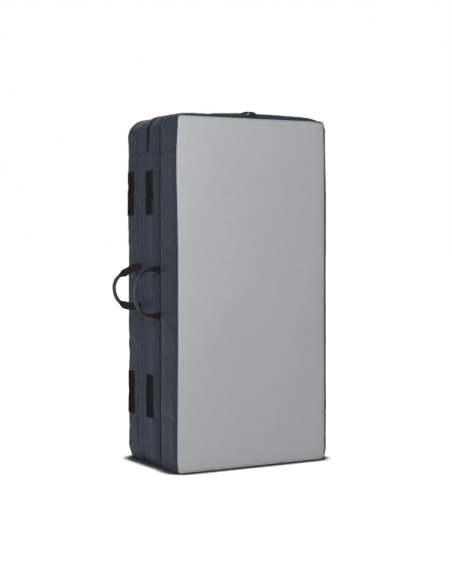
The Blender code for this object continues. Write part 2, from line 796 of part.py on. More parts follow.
def top_closure(pad):
    """The strap over the top: it holds the three panels shut with a buckle above the middle one."""
    across = Vector((WEBBING_WIDTH / 2, 0, 0))
    plane = (1, 2)
    lift = CLOSURE_START_LIFT + WEBBING_THICK
    front = Vector((0, -PANEL_PITCH - HALF_DEPTH + lift, PANEL_HEIGHT + lift))
    front_top = Vector((0, front.y + CLOSURE_RISE, STRAP_LEVEL))
    mouth = Vector((0, -CLOSURE_MOUTH, STRAP_LEVEL))
    socket_end = mouth - Vector((0, BUCKLE_DEPTH + BUCKLE_WALL + SEAT, 0))
    front_path = arc_path(front, front_top, STRAP_ARC_STEPS, plane) + [socket_end]
    strap(pad, "closure_front_strap", "front_panel", front_path, across)
    buckle_socket(pad, "closure_buckle_socket", "front_panel", WEBBING_WIDTH, mouth, (0, 0, 0))
    buckle_plug(pad, "closure_buckle_plug", "closure_plug", WEBBING_WIDTH, mouth, (0, 0, 0))
    rear_y = PANEL_PITCH + HALF_DEPTH - ROUND_DEPTH
    rear = Vector((0, rear_y, row_point(0, PANEL_HEIGHT, panel_rows(True)[CROWN_ROWS_BEFORE_ROUND]).z + lift))
    plug_start = mouth + Vector((0, PLUG_LIP + WEBBING_THICK, plug_slot_lift()))
    rear_top = Vector((0, rear.y - CLOSURE_RISE, plug_start.z))
    rear_path = arc_path(rear, rear_top, STRAP_ARC_STEPS, plane) + [plug_start]
    strap(pad, "closure_rear_strap", "rear_panel", rear_path, across)


# Shoulder harness

def pad_line(share):
    """The shoulder pad's middle line (x, z), bowed out between its top and its foot."""
    bow = 4 * share * (1 - share)
    x = PAD_TOP_X + (PAD_FOOT_X - PAD_TOP_X) * share
    x += (PAD_BOW_X - (PAD_TOP_X + PAD_FOOT_X) / 2) * bow
    return Vector((x, 0, PAD_TOP + (PAD_FOOT - PAD_TOP) * share))


def grown(end_share, along, within):
    """A share that grows from end_share at a pad's end to 1 where along reaches within."""
    return end_share + (1 - end_share) * smooth_share(along, 0, within)


def shoulder_pad(pad, name, side):
    """A padded shoulder strap that lies on the rear face, narrowed at both ends."""
    sections = []
    for step in range(PAD_STEPS + 1):
        share = step / PAD_STEPS
        point = pad_line(share)
        along = min(share, 1 - share) * 2
        half_width = PAD_WIDTH / 2 * grown(PAD_END_WIDTH_SHARE, along, PAD_NARROWING_SHARE)
        thick = PAD_THICK * grown(PAD_END_THICK_SHARE, along, PAD_THINNING_SHARE)
        section = []
        for width_share, thick_share in PAD_SECTION_SHARES:
            x = side * (point.x + half_width * width_share)
            section.append(Vector((x, thick * thick_share, point.z)))
        sections.append(section)
    place_piece(
        pad, name, loft(name, sections, True), "rear_panel", "navy_wrap", (0, REAR_FACE + SEAT, 0)
    )


def ladder_lock(pad, name, side):
    """The buckle at a shoulder pad's foot. The lower webbing runs up through it."""
    middle = Vector((side * PAD_FOOT_X, REAR_FACE + SEAT + LOCK_THICK / 2, PAD_FOOT - SEAT - LOCK_LENGTH / 2))
    size = (WEBBING_WIDTH + 2 * LOCK_SIDE, LOCK_THICK, LOCK_LENGTH)
    thing = place_piece(pad, name, block(name, size, LOCK_EDGE), "rear_panel", "black_plastic", middle)
    side_gap = 2 * WEBBING_SLOT_CLEARANCE
    slot = (WEBBING_WIDTH + side_gap, WEBBING_THICK + side_gap, LOCK_LENGTH - LOCK_BAR + OVERRUN)
    cut(pad, thing, name + "_slot", slot, (0, 0, -(LOCK_BAR + OVERRUN) / 2))
    window = (WEBBING_WIDTH + side_gap, LOCK_THICK, LOCK_BAR)
    cut(pad, thing, name + "_window", window, (0, LOCK_THICK / 2, -LOCK_BAR))
    return middle


def lower_webbing(pad, name, side, lock):
    """Webbing from the ladder lock down and out to where it is sewn to the rear face."""
    top = lock + Vector((0, 0, LOCK_LENGTH / 2 - LOCK_BAR - SEAT))
    bend = lock - Vector((0, 0, LOCK_LENGTH / 2 + LOCK_BAR))
    level = REAR_FACE + SEAT + WEBBING_THICK / 2
    near = Vector((bend.x, level, bend.z - LOCK_LENGTH / 2))
    foot_x = REAR_FACE_HALF_WIDTH - STRAP_SIDE_OFFSET
    foot = Vector((side * foot_x, level, PANEL_HEIGHT * STRAP_FOOT_SHARE))
    strap(pad, name, "rear_panel", [top, bend, near, foot], Vector((WEBBING_WIDTH / 2, 0, 0)))


def yoke_patch(pad):
    """The patch that the shoulder pads' tops are sewn to."""
    middle = (0, REAR_FACE + SEAT + YOKE_THICK / 2, PAD_TOP + YOKE_GAP + YOKE_HEIGHT / 2)
    size = (YOKE_WIDTH, YOKE_THICK, YOKE_HEIGHT)
    place_piece(pad, "harness_yoke", block("harness_yoke", size), "rear_panel", "navy_nylon", middle)


def waist_belt(pad):
    """Two belt wings, sewn down near the rear face's edges and joined by a buckle between them."""
    across = Vector((0, 0, BELT_WIDTH / 2))
    low = REAR_FACE + SEAT + WEBBING_THICK / 2
    high = REAR_FACE + SEAT + BUCKLE_THICK / 2
    mouth = Vector((0, high, BELT_PLACE))
    socket_end = -BUCKLE_DEPTH - BUCKLE_WALL - SEAT
    plug_end = PLUG_LIP + WEBBING_THICK
    # The buckle's length turns to X, its thickness to Y and its width to Z
    turn = Matrix(((0, 1, 0), (0, 0, 1), (1, 0, 0))).to_euler()
    buckle_socket(pad, "waist_buckle_socket", "rear_panel", BELT_WIDTH, mouth, turn)
    buckle_plug(pad, "waist_buckle_plug", "waist_plug", BELT_WIDTH, mouth, turn)
    wings = (
        ("waist_belt_left", -1, socket_end, high),
        ("waist_belt_right", 1, plug_end, high + plug_slot_lift()),
    )
    for name, side, end, level in wings:
        sewn = side * (BELT_REACH - BELT_SEWN)
        path = [
            Vector((side * BELT_REACH, low, BELT_PLACE)),
            Vector((sewn, low, BELT_PLACE)),
            Vector((sewn - side * BELT_RAMP, level, BELT_PLACE)),
            Vector((end, level, BELT_PLACE)),
        ]
        strap(pad, name, "rear_panel", path, across)


def harness(pad):
    yoke_patch(pad)
    for label, side in (("left", -1), ("right", 1)):
        shoulder_pad(pad, "shoulder_pad_" + label, side)
        lock = ladder_lock(pad, "ladder_lock_" + label, side)
        lower_webbing(pad, "shoulder_webbing_" + label, side, lock)
    waist_belt(pad)


def make_bodies(collection):
    """The carriers of what moves, each on its joint's axis."""
    front_seam = Vector((-HALF_WIDTH - HANDLE_END - SEAT, -PANEL_PITCH / 2, 0))
    places = {
        "middle_panel": Vector((0, 0, 0)),
        "rear_panel": LEFT_FOLD,
        "front_panel": RIGHT_FOLD,
        "rear_handle": LEFT_FOLD,
        "front_handle": front_seam,
        "closure_plug": Vector((0, -CLOSURE_MOUTH, STRAP_LEVEL)),
        "zip_slider": Vector((SLIDER_PLACE, ZIP_LINE, PANEL_HEIGHT)),
        "zip_pull": Vector((SLIDER_PLACE, ZIP_LINE, PANEL_HEIGHT)),
        "waist_plug": Vector((0, REAR_FACE, BELT_PLACE)),
    }
    return {name: make_body(collection, name + "_axis", place) for name, place in places.items()}


def main():
    clear_scene()
    parts = new_collection("bouldering_crash_pad")
    cutters = new_collection("cutters")
    pad = {"parts": parts, "cutters": cutters, "bodies": make_bodies(parts)}
    navy = "navy_nylon"
    make_panel(pad, "rear_panel", PANEL_PITCH, True, (navy, navy))
    make_panel(pad, "middle_panel", 0, False, (navy, navy))
    make_panel(pad, "front_panel", -PANEL_PITCH, False, ("grey_nylon", navy))
    side_strips(pad)
    fabric_hinges(pad)
    make_handle(pad, "rear_handle", REAR_HANDLE_SPAN, HANDLE_REACH - HINGE_STAND, REAR_HANDLE_LIFT, 0)
    make_handle(
        pad, "front_handle", FRONT_HANDLE_SPAN, HANDLE_REACH, FRONT_HANDLE_LIFT, FRONT_HANDLE_TILT
    )
    make_zip(pad)
    top_closure(pad)
    harness(pad)


main()
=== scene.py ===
"""The folded bouldering pad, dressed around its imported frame.

Each panel is a cloth cover over three foam layers. The covers are grids of points, which a cloth simulation
fills out and seam puckers shape. Webbing, handles, the zip and the harness are sections swept along routes.
All lengths are metres in the frame's axes: the front face looks along -Y, and +Z is up.
"""

import json
import logging
import math
from dataclasses import dataclass, field
from enum import Enum
from functools import partial
from typing import Any, Callable, Sequence

import bmesh
import bpy
import numpy as np
from bpy.types import Material, Mesh, Node, NodeSocket, NodeTree, Object
from mathutils import Matrix, Vector


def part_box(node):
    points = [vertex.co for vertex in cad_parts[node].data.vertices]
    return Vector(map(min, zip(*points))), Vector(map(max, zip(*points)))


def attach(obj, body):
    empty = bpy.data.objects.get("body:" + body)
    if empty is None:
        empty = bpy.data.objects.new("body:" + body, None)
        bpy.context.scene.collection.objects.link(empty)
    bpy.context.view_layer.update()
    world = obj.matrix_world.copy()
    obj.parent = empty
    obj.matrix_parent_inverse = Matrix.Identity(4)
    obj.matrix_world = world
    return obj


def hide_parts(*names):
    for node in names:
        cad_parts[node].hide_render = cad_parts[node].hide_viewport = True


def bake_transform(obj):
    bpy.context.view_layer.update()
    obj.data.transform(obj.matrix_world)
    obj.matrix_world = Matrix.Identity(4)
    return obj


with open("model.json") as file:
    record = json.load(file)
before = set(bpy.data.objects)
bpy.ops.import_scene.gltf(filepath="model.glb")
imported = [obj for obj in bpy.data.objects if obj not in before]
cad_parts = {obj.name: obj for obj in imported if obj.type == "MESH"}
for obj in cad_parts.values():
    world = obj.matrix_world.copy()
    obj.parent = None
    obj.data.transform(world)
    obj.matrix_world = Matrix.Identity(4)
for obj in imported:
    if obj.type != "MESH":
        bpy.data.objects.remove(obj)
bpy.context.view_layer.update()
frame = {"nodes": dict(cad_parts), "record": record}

LOG = logging.getLogger("crash_pad")

MM = 0.001
TURN = 2 * math.pi
Array = np.ndarray
Pairs = Sequence[tuple[float, float]]


class Slot(Enum):
    """The record's material slots."""

    GREY = "grey_nylon"
    NAVY = "navy_nylon"
    WEBBING = "black_webbing"
    LOOP = "hook_and_loop"
    WRAP = "navy_wrap"
    PLASTIC = "black_plastic"
    FIRM = "firm_foam"
    SOFT = "soft_foam"
    COIL = "zip_coil"
    METAL = "dark_metal"


class Side(Enum):
    """A panel's left or right side, as the sign of X."""

    LEFT = -1
    RIGHT = 1

    @property
    def word(self) -> str:
        """The side's word in the frame's names."""
        return self.name.lower()


# Arithmetic on arrays


def mm(*values: float) -> tuple[float, ...]:
    """Millimetres as metres."""
    return tuple(value * MM for value in values)


def smooth(value: Any, low: float, high: float) -> Array:
    """Rise smoothly from 0 at low to 1 at high, which may be below low."""
    share = np.clip((np.asarray(value, float) - low) / (high - low), 0, 1)
    return share * share * (3 - 2 * share)


def unit(vectors: Array) -> Array:
    """Scale vectors along the last axis to length 1."""
    return vectors / np.maximum(np.linalg.norm(vectors, axis=-1, keepdims=True), 1e-12)


def lengths_along(points: Array) -> Array:
    """Running length at each point of a line."""
    steps = np.linalg.norm(np.diff(points, axis=0), axis=1)
    return np.concatenate([[0.0], np.cumsum(steps)])


def even_line(points: Any, step: float) -> Array:
    """Space points evenly along a line.

    Args:
        points: The line's corners, as rows of two or three numbers.
        step: The wanted distance between points.

    Returns:
        At least two points, from the line's start to its end.
    """
    points = np.asarray(points, float)
    run = lengths_along(points)
    count = max(int(round(run[-1] / step)), 1) + 1
    places = np.linspace(0, run[-1], count)
    return np.stack([np.interp(places, run, column) for column in points.T], 1)


def rounded_line(points: Any, step: float, passes: int = 6) -> Array:
    """Space points evenly along a line and soften its corners.

    Args:
        points: The line's corners.
        step: The wanted distance between points.
        passes: How many times each point moves towards its neighbours' middle.

    Returns:
        The softened line, with its ends kept.
    """
    line = even_line(points, step)
    for _ in range(passes):
        line[1:-1] = (line[:-2] + 2 * line[1:-1] + line[2:]) / 4
    return line


def with_round_corners(
    x: Array, z: Array, half_width: float, half_height: float, radius: float
) -> tuple[Array, Array]:
    """Move a rectangle's points so that its corners are round.

    Args:
        x: Places across, from its middle.
        z: Places up, from its middle.
        half_width: Half its width.
        half_height: Half its height.
        radius: The corners' radius.

    Returns:
        The moved x and z.
    """
    a = np.clip((np.abs(x) - (half_width - radius)) / radius, 0, 1)
    b = np.clip((np.abs(z) - (half_height - radius)) / radius, 0, 1)
    x = x + np.sign(x) * radius * (a * np.sqrt(1 - b * b / 2) - a)
    z = z + np.sign(z) * radius * (b * np.sqrt(1 - a * a / 2) - b)
    return x, z


def rounded_rectangle(width: float, height: float, radius: float, steps: int = 4) -> Array:
    """The outline of a rectangle with round corners.

    Args:
        width: Its width.
        height: Its height.
        radius: The corners' radius.
        steps: Edges on each corner.

    Returns:
        Points (across, up), anticlockwise.
    """
    outline = []
    for quarter, (across, up) in enumerate(((1, 1), (-1, 1), (-1, -1), (1, -1))):
        angle = (quarter / 4 + np.linspace(0, 0.25, steps + 1)) * TURN
        x = across * (width / 2 - radius) + radius * np.cos(angle)
        outline.append(np.stack([x, up * (height / 2 - radius) + radius * np.sin(angle)], 1))
    return np.vstack(outline)


class Noise:
    """Smooth repeatable noise from one seed, with values from -1 to 1."""

    SIZE = 512

    def __init__(self, seed: int) -> None:
        """Draw the table of values that the noise runs between."""
        self._table = np.random.default_rng(seed).uniform(-1, 1, (self.SIZE, self.SIZE))

    def at(self, x: Any, y: Any = 0.0) -> Array:
        """Read the noise.

        Args:
            x: First coordinates, in cells.
            y: Second coordinates, in cells.

        Returns:
            The values, shaped as x and y together.
        """
        x, y = np.broadcast_arrays(np.asarray(x, float), np.asarray(y, float))
        i, j = np.floor(x).astype(int), np.floor(y).astype(int)
        a, b = x - i, y - j
        a, b = a * a * (3 - 2 * a), b * b * (3 - 2 * b)
        table, size = self._table, self.SIZE
        near = table[i % size, j % size] * (1 - a) + table[(i + 1) % size, j % size] * a
        far = table[i % size, (j + 1) % size] * (1 - a) + table[(i + 1) % size, (j + 1) % size] * a
        return near * (1 - b) + far * b


def pairs_at(pairs: Pairs, place: Any) -> Array:
    """Read a line of pairs (place, value), written in millimetres, softly at places in metres."""
    places, values = np.array(pairs).T * MM
    return sum(np.interp(place + shift * MM, places, values) for shift in (-8, -3, 3, 8)) / 4


# Meshes and objects


def new_object(name: str, data: Any) -> Object:
    """Add an object to the scene."""
    thing = bpy.data.objects.new(name, data)
    bpy.context.scene.collection.objects.link(thing)
    return thing


def numbers(items: Any, attribute: str, width: int = 1) -> Array:
    """Read an attribute of all of a mesh's elements."""
    values = np.zeros(len(items) * width, np.float32)
    items.foreach_get(attribute, values)
    return values.reshape(-1, width)


def worked_out(thing: Object) -> Mesh:
    """A mesh of what the object's modifiers make."""
    ready = thing.evaluated_get(bpy.context.evaluated_depsgraph_get())
    return bpy.data.meshes.new_from_object(ready)


@dataclass
class Grid:
    """Rows of points that make one surface, with a UV map in metres: U along a row and V from row to row."""

    points: Array
    round_columns: bool = False
    round_rows: bool = False
    capped: bool = False

    def normals(self, away_from: Any) -> Array:
        """Find the surface's direction at each point.

        Args:
            away_from: A point that the directions lead away from on the whole.

        Returns:
            Unit vectors shaped as the points.
        """
        points = self.points
        down = np.gradient(points, axis=0)
        if self.round_columns:
            along = np.roll(points, -1, axis=1) - np.roll(points, 1, axis=1)
        else:
            along = np.gradient(points, axis=1)
        found = unit(np.cross(along, down))
        away = points - np.asarray(away_from, float)
        return found if (found * away).sum() > 0 else -found

    def raised(self, heights: Array, away_from: Any) -> "Grid":
        """Move each point along the surface's direction, which leads away from a point."""
        moved = self.points + self.normals(away_from) * np.asarray(heights)[..., None]
        return Grid(moved, self.round_columns, self.round_rows, self.capped)

    def at(self, row: Any, column: Any) -> Array:
        """Read points between the grid's own, by row and column counts that may be fractions."""
        rows, columns = self.points.shape[:2]
        row, column = np.broadcast_arrays(np.asarray(row, float), np.asarray(column, float))
        row = np.clip(row, 0, rows - 1.001)
        i, j = np.floor(row).astype(int), np.floor(column).astype(int)
        a, b = (row - i)[..., None], (column - j)[..., None]
        near = self.points[i, j % columns] * (1 - b) + self.points[i, (j + 1) % columns] * b
        far = self.points[i + 1, j % columns] * (1 - b) + self.points[i + 1, (j + 1) % columns] * b
        return near * (1 - a) + far * a

    def _uv(self, rows: int, columns: int) -> tuple[Array, Array]:
        """Lengths in metres across the columns and down the rows, with the closing ones."""
        points = self.points
        middle = points[len(points) // 2]
        ring = np.vstack([middle, middle[:1]]) if self.round_columns else middle
        side = points[:, points.shape[1] // 2]
        chain = np.vstack([side, side[:1]]) if self.round_rows else side
        return lengths_along(ring)[: columns + 1], lengths_along(chain)[: rows + 1]

    def mesh(self, name: str, away_from: Any = None) -> Mesh:
        """Make the mesh.

        Args:
            name: The mesh's name.
            away_from: For an open surface, a point that its faces look away from.

        Returns:
            The mesh, with outward faces and its UV map.
        """
        total_rows, total_columns = self.points.shape[:2]
        rows = total_rows if self.round_rows else total_rows - 1
        columns = total_columns if self.round_columns else total_columns - 1
        i, j = np.meshgrid(np.arange(rows), np.arange(columns), indexing="ij")
        i, j = i.ravel(), j.ravel()
        corners = [(i, j), (i, j + 1), (i + 1, j + 1), (i + 1, j)]
        faces = np.stack([(a % total_rows) * total_columns + b % total_columns for a, b in corners], 1)
        across, down = self._uv(rows, columns)
        uv = np.stack([np.stack([across[b], down[a]], 1) for a, b in corners], 1).reshape(-1, 2)
        listed = faces.tolist()
        if self.capped:
            last = (total_rows - 1) * total_columns
            listed.append(list(range(total_columns))[::-1])
            listed.append([last + k for k in range(total_columns)])
            ends = np.stack([np.linspace(0, across[-1], total_columns), np.zeros(total_columns)], 1)
            uv = np.vstack([uv, ends, ends + (0, down[-1])])
        mesh = bpy.data.meshes.new(name)
        mesh.from_pydata(self.points.reshape(-1, 3).tolist(), [], listed)
        layer = mesh.uv_layers.new(name="UVMap")
        layer.data.foreach_set("uv", uv.astype(np.float32).ravel())
        if self._inside_out(mesh, away_from):
            mesh.flip_normals()
        mesh.shade_smooth()
        return mesh

    @staticmethod
    def _inside_out(mesh: Mesh, away_from: Any) -> bool:
        """Whether the faces look inwards, or towards the given point."""
        faces = mesh.polygons
        centres = numbers(faces, "center", 3)
        origin = centres.mean(0) if away_from is None else np.asarray(away_from, float)
        return float(((centres - origin) * numbers(faces, "normal", 3) * numbers(faces, "area")).sum()) < 0


def oblong(width: float, height: float, power: float = 4.0, count: int = 16) -> Array:
    """A section between a rectangle and an ellipse.

    Args:
        width: Its full width.
        height: Its full height.
        power: 2 makes an ellipse, and more makes squarer corners.
        count: Its number of points.

    Returns:
        Points (wide, deep) round it.
    """
    angle = np.arange(count) / count * TURN
    wide, deep = np.cos(angle), np.sin(angle)
    wide = np.sign(wide) * np.abs(wide) ** (2 / power)
    deep = np.sign(deep) * np.abs(deep) ** (2 / power)
    return np.stack([wide * width / 2, deep * height / 2], 1)


def sweep(path: Array, wide: Any, section: Array, closed: bool = False) -> Grid:
    """Carry a section along a path.

    Args:
        path: The path's points.
        wide: The section's width direction, one vector or one for each point.
        section: Points (wide, deep) of the section, the same all along or one set for each point.
        closed: Whether the path closes on itself.

    Returns:
        The closed surface.
    """
    if closed:
        along = np.roll(path, -1, axis=0) - np.roll(path, 1, axis=0)
    else:
        along = np.gradient(path, axis=0)
    along = unit(along)
    wide = np.broadcast_to(np.asarray(wide, float), path.shape)
    wide = unit(wide - along * (wide * along).sum(1, keepdims=True))
    deep = np.cross(along, wide)
    section = np.broadcast_to(section, (len(path), *section.shape[-2:]))
    points = path[:, None] + wide[:, None] * section[..., :1] + deep[:, None] * section[..., 1:]
    return Grid(points, round_columns=True, round_rows=closed, capped=not closed)


# Nodes


class Tree:
    """A node tree, whose nodes all come from one method."""

    def __init__(self, tree: NodeTree) -> None:
        """Empty the tree."""
        self.tree = tree
        self.tree.nodes.clear()

    def node(self, kind: str, settings: dict | None = None, inputs: dict | None = None) -> Node:
        """Add a node.

        Args:
            kind: The node's type.
            settings: Its properties.
            inputs: Values, links or Numbers by socket name or number.

        Returns:
            The node.
        """
        node = self.tree.nodes.new(kind)
        for name, value in (settings or {}).items():
            setattr(node, name, value)
        self.fill(node, inputs or {})
        return node

    def fill(self, node: Node, inputs: dict) -> None:
        """Set or link a node's inputs."""
        for key, value in inputs.items():
            value = getattr(value, "socket", value)
            if isinstance(value, NodeSocket):
                self.tree.links.new(value, node.inputs[key])
            else:
                node.inputs[key].default_value = value

    def made(self, kind: str, settings: dict | None = None, inputs: dict | None = None) -> NodeSocket:
        """Add a node and take its first result."""
        return self.node(kind, settings, inputs).outputs[0]


class Number:
    """A number that varies over a surface, with Python's arithmetic."""

    def __init__(self, paint: "Paint", socket: NodeSocket) -> None:
        """Wrap a node's output."""
        self.paint = paint
        self.socket = socket

    def maths(self, operation: str, *values: Any, clamp: bool = False) -> "Number":
        """Add a Math node on numbers or Numbers, kept from 0 to 1 if it clamps."""
        settings = {"operation": operation, "use_clamp": clamp}
        return Number(self.paint, self.paint.made("ShaderNodeMath", settings, dict(enumerate(values))))

    def __add__(self, other: Any) -> "Number":
        """Sum."""
        return self.maths("ADD", self, other)

    __radd__ = __add__

    def __mul__(self, other: Any) -> "Number":
        """Product."""
        return self.maths("MULTIPLY", self, other)

    __rmul__ = __mul__

    def __sub__(self, other: Any) -> "Number":
        """Difference."""
        return self.maths("SUBTRACT", self, other)

    def __rsub__(self, other: Any) -> "Number":
        """Difference the other way round."""
        return self.maths("SUBTRACT", other, self)

    def wave(self, pitch: float) -> "Number":
        """A sine from 0 to 1 that repeats at the pitch."""
        return (self * (TURN / pitch)).maths("SINE", self * (TURN / pitch)) * 0.5 + 0.5

    def between(self, low: float, high: float) -> "Number":
        """Rise from 0 at low to 1 at high, and stay within them."""
        return self.maths("MULTIPLY", self - low, 1 / (high - low), clamp=True)


class Paint(Tree):
    """A material's node tree around one Principled shader."""

    def __init__(self, name: str) -> None:
        """Start a material with its shader and coordinates."""
        self.material = bpy.data.materials.new(name)
        self.material.use_nodes = True
        super().__init__(self.material.node_tree)
        self.shader = self.node("ShaderNodeBsdfPrincipled")
        self.output = self.node("ShaderNodeOutputMaterial", inputs={0: self.shader.outputs[0]})
        coordinates = self.node("ShaderNodeTexCoord").outputs
        self.place, self.cloth = coordinates["Object"], coordinates["UV"]

    def split(self, vector: NodeSocket) -> tuple[Number, Number, Number]:
        """Take a vector's three numbers."""
        node = self.node("ShaderNodeSeparateXYZ", inputs={0: vector})
        return tuple(Number(self, output) for output in node.outputs)

    def noise(self, scale: float, detail: float = 2, vector: Any = None, rough: float = 0.5) -> Number:
        """Cloudy noise from 0 to 1, in cells per metre."""
        inputs = {"Vector": vector or self.place, "Scale": scale, "Detail": detail, "Roughness": rough}
        return Number(self, self.made("ShaderNodeTexNoise", inputs=inputs))

    def cells(self, scale: float) -> Number:
        """Distance to the nearest of scattered points, in cells per metre."""
        return Number(self, self.made("ShaderNodeTexVoronoi", inputs={"Vector": self.place, "Scale": scale}))

    def blend(self, share: Any, first: Any, second: Any) -> NodeSocket:
        """Mix two colours."""
        first, second = ((*colour, 1) if isinstance(colour, tuple) else colour for colour in (first, second))
        return self.node("ShaderNodeMix", {"data_type": "RGBA"}, {0: share, 6: first, 7: second}).outputs[2]

    def tinted(self, share: Any, colour: Any, base: tuple, factor: float) -> NodeSocket:
        """Mix a colour with a lighter or darker one of the base colour."""
        return self.blend(share, colour, tuple(part * factor for part in base))

    def bump(self, height: Number, depth: float, strength: float, onto: Any = None) -> NodeSocket:
        """Raise the surface by a height from 0 to 1.

        Args:
            height: The height's share of the depth.
            depth: The full depth in metres.
            strength: How much of it is kept.
            onto: Another bump's result to add to.

        Returns:
            The new normal.
        """
        inputs = {"Height": height, "Distance": depth, "Strength": strength}
        if onto is not None:
            inputs["Normal"] = onto
        return self.made("ShaderNodeBump", inputs=inputs)

    def finish(self, colour: NodeSocket, roughness: Any, normal: Any = None, **fixed: float) -> Material:
        """Link the shader's inputs.

        Args:
            colour: The colour.
            roughness: A number or a Number.
            normal: A bump's result.
            fixed: Values of other sockets, with underscores for spaces.

        Returns:
            The material.
        """
        values = {name.replace("_", " "): value for name, value in fixed.items()}
        if normal is not None:
            values["Normal"] = normal
        self.fill(self.shader, {"Base Color": colour, "Roughness": roughness, **values})
        self.material.diffuse_color = (0.2, 0.2, 0.2, 1)
        return self.material


@dataclass(frozen=True)
class CoatedCloth:
    """Tightly woven nylon with a coated back, as the covers have."""

    colour: tuple[float, float, float]
    dusty: tuple[float, float, float]
    thread: float = 0.9 * MM
    soiled: float = 0.4

    def make(self, name: str) -> Material:
        """Build the material."""
        paint = Paint(name)
        u, v, _ = paint.split(paint.cloth)
        _, _, height = paint.split(paint.place)
        weave = u.wave(self.thread) * v.wave(self.thread)
        slub = paint.noise(900, 2, paint.cloth)
        cloud = paint.noise(3.2, 3)
        mottle = paint.noise(38, 4)
        dark = tuple(part * 0.91 for part in self.colour)
        colour = paint.tinted(cloud * 0.6 + mottle * 0.4, dark, self.colour, 1.09)
        colour = paint.tinted(weave * 0.10 + slub * 0.10, colour, self.colour, 0.78)
        foot = (1 - height.between(0.0, 0.05)) * paint.noise(60, 5).between(0.45, 0.75)
        rubs = paint.noise(14, 6).between(0.66, 0.80) * 0.12
        colour = paint.blend((foot + rubs) * self.soiled, colour, self.dusty)
        roughness = 0.50 + mottle * 0.14 + foot * 0.15
        normal = paint.bump(mottle, 0.35 * MM, 0.5)
        normal = paint.bump(weave * 0.7 + slub * 0.3, 0.12 * MM, 0.35, normal)
        return paint.finish(colour, roughness, normal, Specular_IOR_Level=0.10, Sheen_Weight=0.02)


@dataclass(frozen=True)
class Webbing:
    """Woven strapping, ribbed across its length."""

    colour: tuple[float, float, float]
    rib: float = 1.9 * MM
    yarn: float = 1.3 * MM

    def make(self, name: str) -> Material:
        """Build the material."""
        paint = Paint(name)
        u, v, _ = paint.split(paint.cloth)
        ribs = (v + u * 0.35).wave(self.rib)
        yarns = u.wave(self.yarn)
        fray = paint.noise(700, 3)
        worn = paint.noise(45, 4).between(0.52, 0.80)
        colour = paint.tinted(ribs * 0.35 + yarns * 0.25 + fray * 0.3, self.colour, self.colour, 2.1)
        colour = paint.tinted(worn * 0.35, colour, self.colour, 2.8)
        normal = paint.bump(ribs * 0.6 + yarns * 0.4, 0.35 * MM, 0.6)
        normal = paint.bump(fray, 0.12 * MM, 0.4, normal)
        return paint.finish(colour, 0.66 + fray * 0.2, normal, Specular_IOR_Level=0.2, Sheen_Weight=0.02)


@dataclass(frozen=True)
class LoopPile:
    """Hook-and-loop tape, with its short matted pile."""

    colour: tuple[float, float, float]

    def make(self, name: str) -> Material:
        """Build the material."""
        paint = Paint(name)
        pile = paint.cells(1300)
        fluff = paint.noise(420, 5, rough=0.7)
        lint = paint.noise(1100, 2).between(0.68, 0.76)
        matted = paint.noise(70, 4)
        colour = paint.tinted(pile * 0.7 + fluff * 0.4, self.colour, self.colour, 2.2)
        colour = paint.blend(lint * matted * 0.5, colour, (0.10, 0.10, 0.11))
        normal = paint.bump(pile * 0.5 + fluff * 0.5, 0.5 * MM, 0.8)
        return paint.finish(colour, 0.88 + matted * 0.1, normal, Specular_IOR_Level=0.05)


@dataclass(frozen=True)
class Moulded:
    """Injection-moulded nylon, finely grained and scuffed a little."""

    colour: tuple[float, float, float]
    gloss: float = 0.5

    def make(self, name: str) -> Material:
        """Build the material."""
        paint = Paint(name)
        grain = paint.noise(2600, 2)
        smear = paint.noise(90, 4)
        scuff = paint.noise(320, 6, rough=0.65).between(0.60, 0.74)
        colour = paint.tinted(scuff * 0.4, self.colour, self.colour, 2.6)
        normal = paint.bump(grain, 0.06 * MM, 0.5)
        return paint.finish(colour, 0.34 + smear * 0.14 + scuff * 0.2, normal, Specular_IOR_Level=self.gloss)


@dataclass(frozen=True)
class Foam:
    """Cut foam with open or closed cells."""

    colour: tuple[float, float, float]
    cell: float

    def make(self, name: str) -> Material:
        """Build the material."""
        paint = Paint(name)
        cells = paint.cells(1 / self.cell)
        cloud = paint.noise(22, 3)
        colour = paint.blend(cells * 0.8, tuple(part * 0.75 for part in self.colour), self.colour)
        colour = paint.tinted(cloud * 0.4, colour, self.colour, 0.85)
        normal = paint.bump(cells, self.cell * 0.6, 0.8)
        return paint.finish(colour, 0.92, normal)


@dataclass(frozen=True)
class Thread:
    """Bonded sewing thread, twisted."""

    colour: tuple[float, float, float]

    def make(self, name: str) -> Material:
        """Build the material."""
        paint = Paint(name)
        twist = paint.noise(2500, 2)
        colour = paint.tinted(twist, self.colour, self.colour, 1.7)
        return paint.finish(colour, 0.5 + twist * 0.2, paint.bump(twist, 0.1 * MM, 0.5))


@dataclass(frozen=True)
class CastMetal:
    """Painted zinc, rubbed bright along its high spots."""

    colour: tuple[float, float, float]

    def make(self, name: str) -> Material:
        """Build the material."""
        paint = Paint(name)
        rubbed = paint.noise(650, 4).between(0.58, 0.70)
        colour = paint.blend(rubbed * 0.6, self.colour, (0.42, 0.42, 0.43))
        normal = paint.bump(paint.noise(1500), 0.05 * MM, 0.4)
        return paint.finish(colour, 0.36 + rubbed * 0.1, normal, Metallic=0.9)


